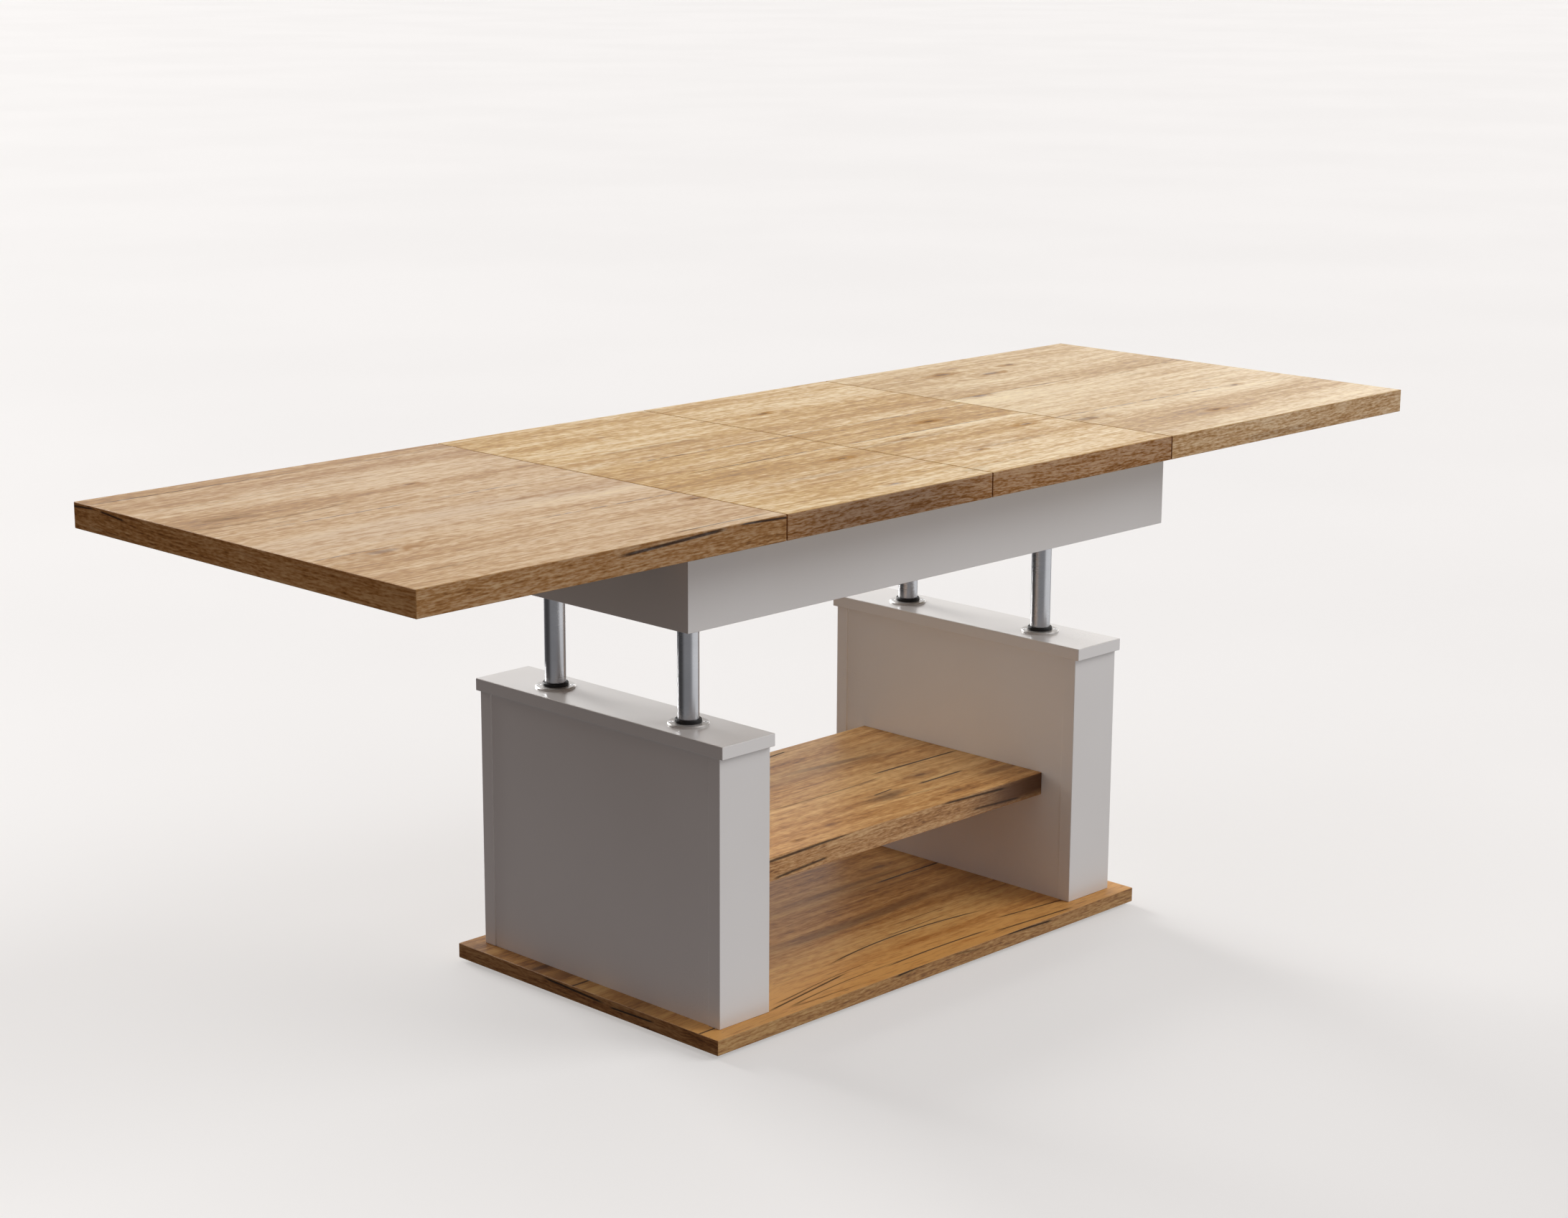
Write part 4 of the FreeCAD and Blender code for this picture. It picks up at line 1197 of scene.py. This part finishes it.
@dataclass
class Pedestals(Assembly):
    """The two white pedestals: caps, stiles, broad panels and what joins them."""

    def dress(self, shop: Workshop) -> None:
        """Give the boards their white laminate and the dowels their beech.

        Args:
            shop: The shared finishes.
        """
        for side in ("left", "right"):
            dress(side + "_cap", shop.cap_white)
            for board in ("front_stile", "rear_stile", "inner_panel", "outer_panel"):
                dress(f"{side}_{board}", shop.white)
            dress(side + "_guide_board", shop.raw_board)
        dress("joint_dowels", shop.beech)


@dataclass
class BaseAndShelf(Assembly):
    """The oak base board on its glides, and the oak shelf between the pedestals."""

    connecting_recess: float = 0.0019
    connecting_depth: float = 0.0024
    connecting_pitch: float = 0.0030
    small_recess: float = 0.00125
    # The base's darker face tint is partly its own tone, partly painted shade under the shelf.
    base: OakDecor = OakDecor(
        "oak_base", 41.0, (),
        (Knot(-0.429, 0.108, 0.016, 0.8), Knot(0.245, 0.075, 0.012, 0.6)),
        (Crack(0.258, 0.023, 0.17, 0.0032), Crack(-0.43, 0.021, 0.08, 0.0028),
         Crack(0.036, -0.159, 0.36, 0.0026, 0.0, -0.020), Crack(-0.231, -0.230, 0.20, 0.0026, 0.14),
         Crack(0.033, -0.236, 0.24, 0.0024, 0.0, -0.004), Crack(0.228, -0.257, 0.18, 0.0024, -0.07),
         Crack(0.264, -0.223, 0.15, 0.0024, -0.12), Crack(-0.43, -0.234, 0.08, 0.0024),
         Crack(0.03, -0.075, 0.55, 0.018, 0.02, 0.015, 0.6),
         Crack(0.15, 0.045, 0.40, 0.010, 0.01, 0.0, 0.45),
         Crack(-0.05, EdgeFace.FRONT.across(0.0255), 0.10, 0.0022, 0.04),
         Crack(0.20, EdgeFace.FRONT.across(0.0240), 0.12, 0.0022, -0.03),
         Crack(0.02, EdgeFace.LEFT.across(0.0210), 0.14, 0.0024, 0.03),
         Crack(-0.10, EdgeFace.LEFT.across(0.0180), 0.10, 0.0020, -0.03)),
        bands=0.6, cracking=0.75, streaks=0.85, contrast=1.2, pale_front=0.34,
        face_tone_and_painted_light=(0.75, 0.68, 0.48, 1.0), front_tint=(1.22, 1.06, 0.88, 1.0),
        edge_tone_and_painted_light=(0.72, 0.66, 0.52, 1.0), end_tone_and_painted_light=(0.60, 0.50, 0.39, 1.0), roughness=0.48, gloss=0.3,
        heart=tint(118, 78, 40))
    # The edge and end tints of the base and the shelf paint their edges and ends darker than their faces,
    # as painted shade.
    shelf: OakDecor = OakDecor(
        "oak_shelf", 57.0, (),
        (Knot(0.182, -0.062, 0.010, 0.7), Knot(-0.177, -0.155, 0.004), Knot(0.167, -0.155, 0.005)),
        (Crack(0.230, -0.013, 0.21, 0.0034, -0.02), Crack(0.197, -0.091, 0.11, 0.0034),
         Crack(0.077, -0.083, 0.05, 0.0024, 0.1), Crack(0.011, -0.033, 0.26, 0.0030, 0.0, 0.004, 0.5),
         Crack(0.105, 0.166, 0.05, 0.0030, 0.1), Crack(0.13, 0.070, 0.26, 0.010, -0.12, 0.0, 0.55),
         Crack(0.295, -0.125, 0.12, 0.014, 0.0, 0.0, 0.45),
         Crack(-0.19, EdgeFace.FRONT.across(0.2160), 0.20, 0.0028, 0.03, dark=0.8),
         Crack(-0.20, EdgeFace.FRONT.across(0.1900), 0.12, 0.0026, 0.06, dark=0.8),
         Crack(0.17, EdgeFace.FRONT.across(0.2150), 0.16, 0.0026, -0.04, dark=0.8),
         Crack(0.22, EdgeFace.FRONT.across(0.1920), 0.12, 0.0024, -0.04, dark=0.7),
         Crack(0.30, EdgeFace.FRONT.across(0.2050), 0.36, 0.028, 0.05, dark=0.95)),
        bands=0.5, cracking=0.5, streaks=0.75, contrast=1.2, face_tone_and_painted_light=(1.01, 0.97, 0.81, 1.0),
        edge_tone_and_painted_light=(0.92, 0.90, 0.90, 1.0), roughness=0.46, gloss=0.35, heart=tint(112, 70, 36))

    def dress(self, shop: Workshop) -> None:
        """Give the boards their decor and the glides their plastic.

        Args:
            shop: The shared finishes.
        """
        dress("base_board", self.base.material())
        dress("shelf", self.shelf.material())
        dress("floor_glides", shop.plastic)

    def build(self, shop: Workshop) -> None:
        """Make the screws under the base and in the shelf's ends."""
        ScrewSet("connecting_screws", Slot.ZINC, self.connecting_recess, self.connecting_depth,
                 self.connecting_pitch).build(shop.screws, shop.zinc)
        ScrewSet("base_small_screws", Slot.ZINC, self.small_recess).build(shop.screws, shop.zinc)


@dataclass
class SoftSun:
    """A wide, soft studio light that reaches the whole floor evenly."""

    name: str
    azimuth: float
    elevation: float
    strength: float
    spread: float
    colour: Triple = (1.0, 1.0, 1.0)

    def build(self) -> None:
        """Add the light. Azimuth 0 shines from the front, and 90 from the right."""
        light = bpy.data.lights.new(self.name, "SUN")
        light.energy = self.strength
        light.angle = math.radians(self.spread)
        light.color = self.colour
        lamp = bpy.data.objects.new(self.name, light)
        turn, rise = math.radians(self.azimuth), math.radians(self.elevation)
        source = Vector((math.sin(turn) * math.cos(rise), -math.cos(turn) * math.cos(rise), math.sin(rise)))
        lamp.rotation_euler = source.to_track_quat("Z", "Y").to_euler()
        bpy.context.scene.collection.objects.link(lamp)


@dataclass
class BounceCard:
    """A small warm card that throws light sideways, as a pale floor would, and is not seen itself."""

    name: str
    place: Triple
    facing: Triple
    width: float
    height: float
    watts: float
    spread: float
    colour: Triple

    def build(self) -> None:
        """Add the card's light."""
        light = bpy.data.lights.new(self.name, "AREA")
        light.shape = "RECTANGLE"
        light.size = self.width
        light.size_y = self.height
        light.energy = self.watts
        light.spread = math.radians(self.spread)
        light.color = self.colour
        lamp = bpy.data.objects.new(self.name, light)
        lamp.location = self.place
        lamp.rotation_euler = Vector(self.facing).to_track_quat("-Z", "Y").to_euler()
        lamp.visible_camera = False
        lamp.visible_glossy = False
        bpy.context.scene.collection.objects.link(lamp)


@dataclass
class Studio:
    """The pale floor, the soft light and the camera."""

    floor_half: float = 90.0
    floor_colour: Colour = tint(178, 177, 176)
    floor_cloud: Colour = tint(174, 173, 172)
    floor_drop: float = 0.0004
    floor_lift: float = 0.90
    floor_roughness: float = 0.7
    cloud_scales: Triple = (0.6, 0.6, 1.0)
    cloud_step: Step = (0.3, 0.7)
    air: Colour = (0.25, 0.216, 0.212, 1.0)
    dark_ground: Colour = (0.075, 0.064, 0.061, 1.0)
    pale_ground: Colour = (0.50, 0.49, 0.49, 1.0)
    dark_card: Colour = (0.06, 0.06, 0.062, 1.0)
    grey_card: Colour = (0.30, 0.30, 0.31, 1.0)
    white_card: Colour = (0.95, 0.95, 0.96, 1.0)
    backdrop: Colour = (1.0, 0.985, 0.97, 1.0)
    glow: Colour = (1.40, 1.38, 1.36, 1.0)
    window: Colour = (2.8, 2.74, 2.7, 1.0)
    glow_azimuth: float = 66.0
    glow_side: Step = (0.68, 0.82)
    glow_bottom: Step = (-0.02, 0.02)
    glow_top: Step = (0.28, 0.42)
    window_side: Step = (0.93, 1.0)
    ground_turn: Step = (-0.7, 0.8)
    grey_card_turn: Step = (-0.88, -0.60)
    white_card_turn: Step = (0.50, 0.80)
    image_width: float = 2184.0
    focal_pixels: float = 4146.362648
    sensor: float = 36.0
    eye: Triple = (-3.0529905, -2.9362186, 1.5162205)
    yaw: float = 0.79688228
    pitch: float = -0.23584177
    roll: float = 0.00448808
    clip_end: float = 400.0
    lights: tuple[SoftSun | BounceCard, ...] = (
        SoftSun("key_front_right", 46.0, 37.0, 1.35, 36.0, (0.975, 0.99, 1.0)),
        SoftSun("overhead", 150.0, 72.0, 0.60, 80.0, (1.0, 0.985, 0.96)),
        SoftSun("low_behind", 176.0, 20.0, 2.6, 24.0, (1.0, 0.99, 0.975)),
        BounceCard("card_in_opening", (-0.322, 0.0, 0.320), (1.0, 0.0, 0.0), 0.46, 0.16, 0.20, 120.0,
                   (1.0, 0.86, 0.70)),
    )

    def build_floor(self) -> None:
        """Add the floor, which shows and shades but throws no light back up."""
        g = Surface("studio_floor")
        cloud = g.smooth(g.texture(self.cloud_scales), *self.cloud_step)
        pale = g.close({
            "Base Color": g.mix(cloud, self.floor_colour, self.floor_cloud),
            "Roughness": self.floor_roughness,
            "Emission Color": self.floor_colour,
            "Emission Strength": self.floor_lift,
        })
        half = self.floor_half
        mesh = bpy.data.meshes.new("floor")
        corners = [(-half, -half), (half, -half), (half, half), (-half, half)]
        mesh.from_pydata([(a, b, -self.floor_drop) for a, b in corners], [], [(0, 1, 2, 3)])
        mesh.materials.append(pale)
        floor = bpy.data.objects.new("floor", mesh)
        bpy.context.scene.collection.objects.link(floor)
        floor.visible_diffuse = False
        floor.visible_glossy = False

    def build_air(self) -> None:
        """Make the soft surroundings, brighter low down behind the table, before a pale backdrop."""
        world = bpy.data.worlds.new("studio_air")
        world.use_nodes = True
        bpy.context.scene.world = world
        g = Graph(world.node_tree)
        x, y, z = g.split(g.node("ShaderNodeTexCoord", output="Generated"))
        turn = math.radians(self.glow_azimuth)
        toward = x * math.sin(turn) + y * math.cos(turn)
        behind = g.smooth(toward, *self.glow_side) * g.smooth(z, *self.glow_bottom)
        behind = behind * (1.0 - g.smooth(z, *self.glow_top))
        rightward = x * math.cos(self.yaw) - y * math.sin(self.yaw)
        colour = g.mix(g.smooth(rightward, *self.ground_turn), self.dark_ground, self.pale_ground)
        cards = g.mix(g.smooth(rightward, *self.grey_card_turn), self.dark_card, self.grey_card)
        cards = g.mix(g.smooth(rightward, *self.white_card_turn), cards, self.white_card)
        colour = g.mix(g.node("ShaderNodeLightPath", output="Is Glossy Ray"), colour, cards)
        colour = g.mix(z > 0.0, colour, self.air)
        bright = g.mix(g.smooth(toward, *self.window_side), self.glow, self.window)
        colour = g.mix(behind, colour, bright)
        colour = g.mix(g.node("ShaderNodeLightPath", output="Is Camera Ray"), colour, self.backdrop)
        shine = g.node("ShaderNodeBackground", {}, {"Color": colour, "Strength": 1.0})
        end = world.node_tree.nodes.new("ShaderNodeOutputWorld")
        world.node_tree.links.new(shine.socket, end.inputs["Surface"])

    def build_camera(self) -> None:
        """Put the camera where the picture was taken from."""
        forward = Vector((math.sin(self.yaw) * math.cos(self.pitch),
                          math.cos(self.yaw) * math.cos(self.pitch), math.sin(self.pitch)))
        level = Vector((math.cos(self.yaw), -math.sin(self.yaw), 0.0))
        above = level.cross(forward)
        right = level * math.cos(self.roll) + above * math.sin(self.roll)
        up = above * math.cos(self.roll) - level * math.sin(self.roll)
        data = bpy.data.cameras.new("camera")
        data.sensor_fit = "HORIZONTAL"
        data.sensor_width = self.sensor
        data.lens = self.focal_pixels * self.sensor / self.image_width
        data.clip_end = self.clip_end
        camera = bpy.data.objects.new("camera", data)
        place = Matrix((right, up, -forward)).transposed().to_4x4()
        place.translation = Vector(self.eye)
        camera.matrix_world = place
        bpy.context.scene.collection.objects.link(camera)
        bpy.context.scene.camera = camera

    def build(self) -> None:
        """Set up the whole studio."""
        self.build_floor()
        self.build_air()
        for light in self.lights:
            light.build()
        self.build_camera()
        bpy.context.scene.view_settings.view_transform = "Standard"


def main() -> None:
    """Dress the table from the top down, make its screws, and set up the studio."""
    logging.basicConfig(level=logging.INFO, format="%(message)s")
    shop = Workshop.open()
    for assembly in (TableTop(), ApronBox(), LiftColumns(), Pedestals(), BaseAndShelf()):
        assembly.dress(shop)
        assembly.build(shop)
    Studio().build()


if __name__ == "__main__":
    main()
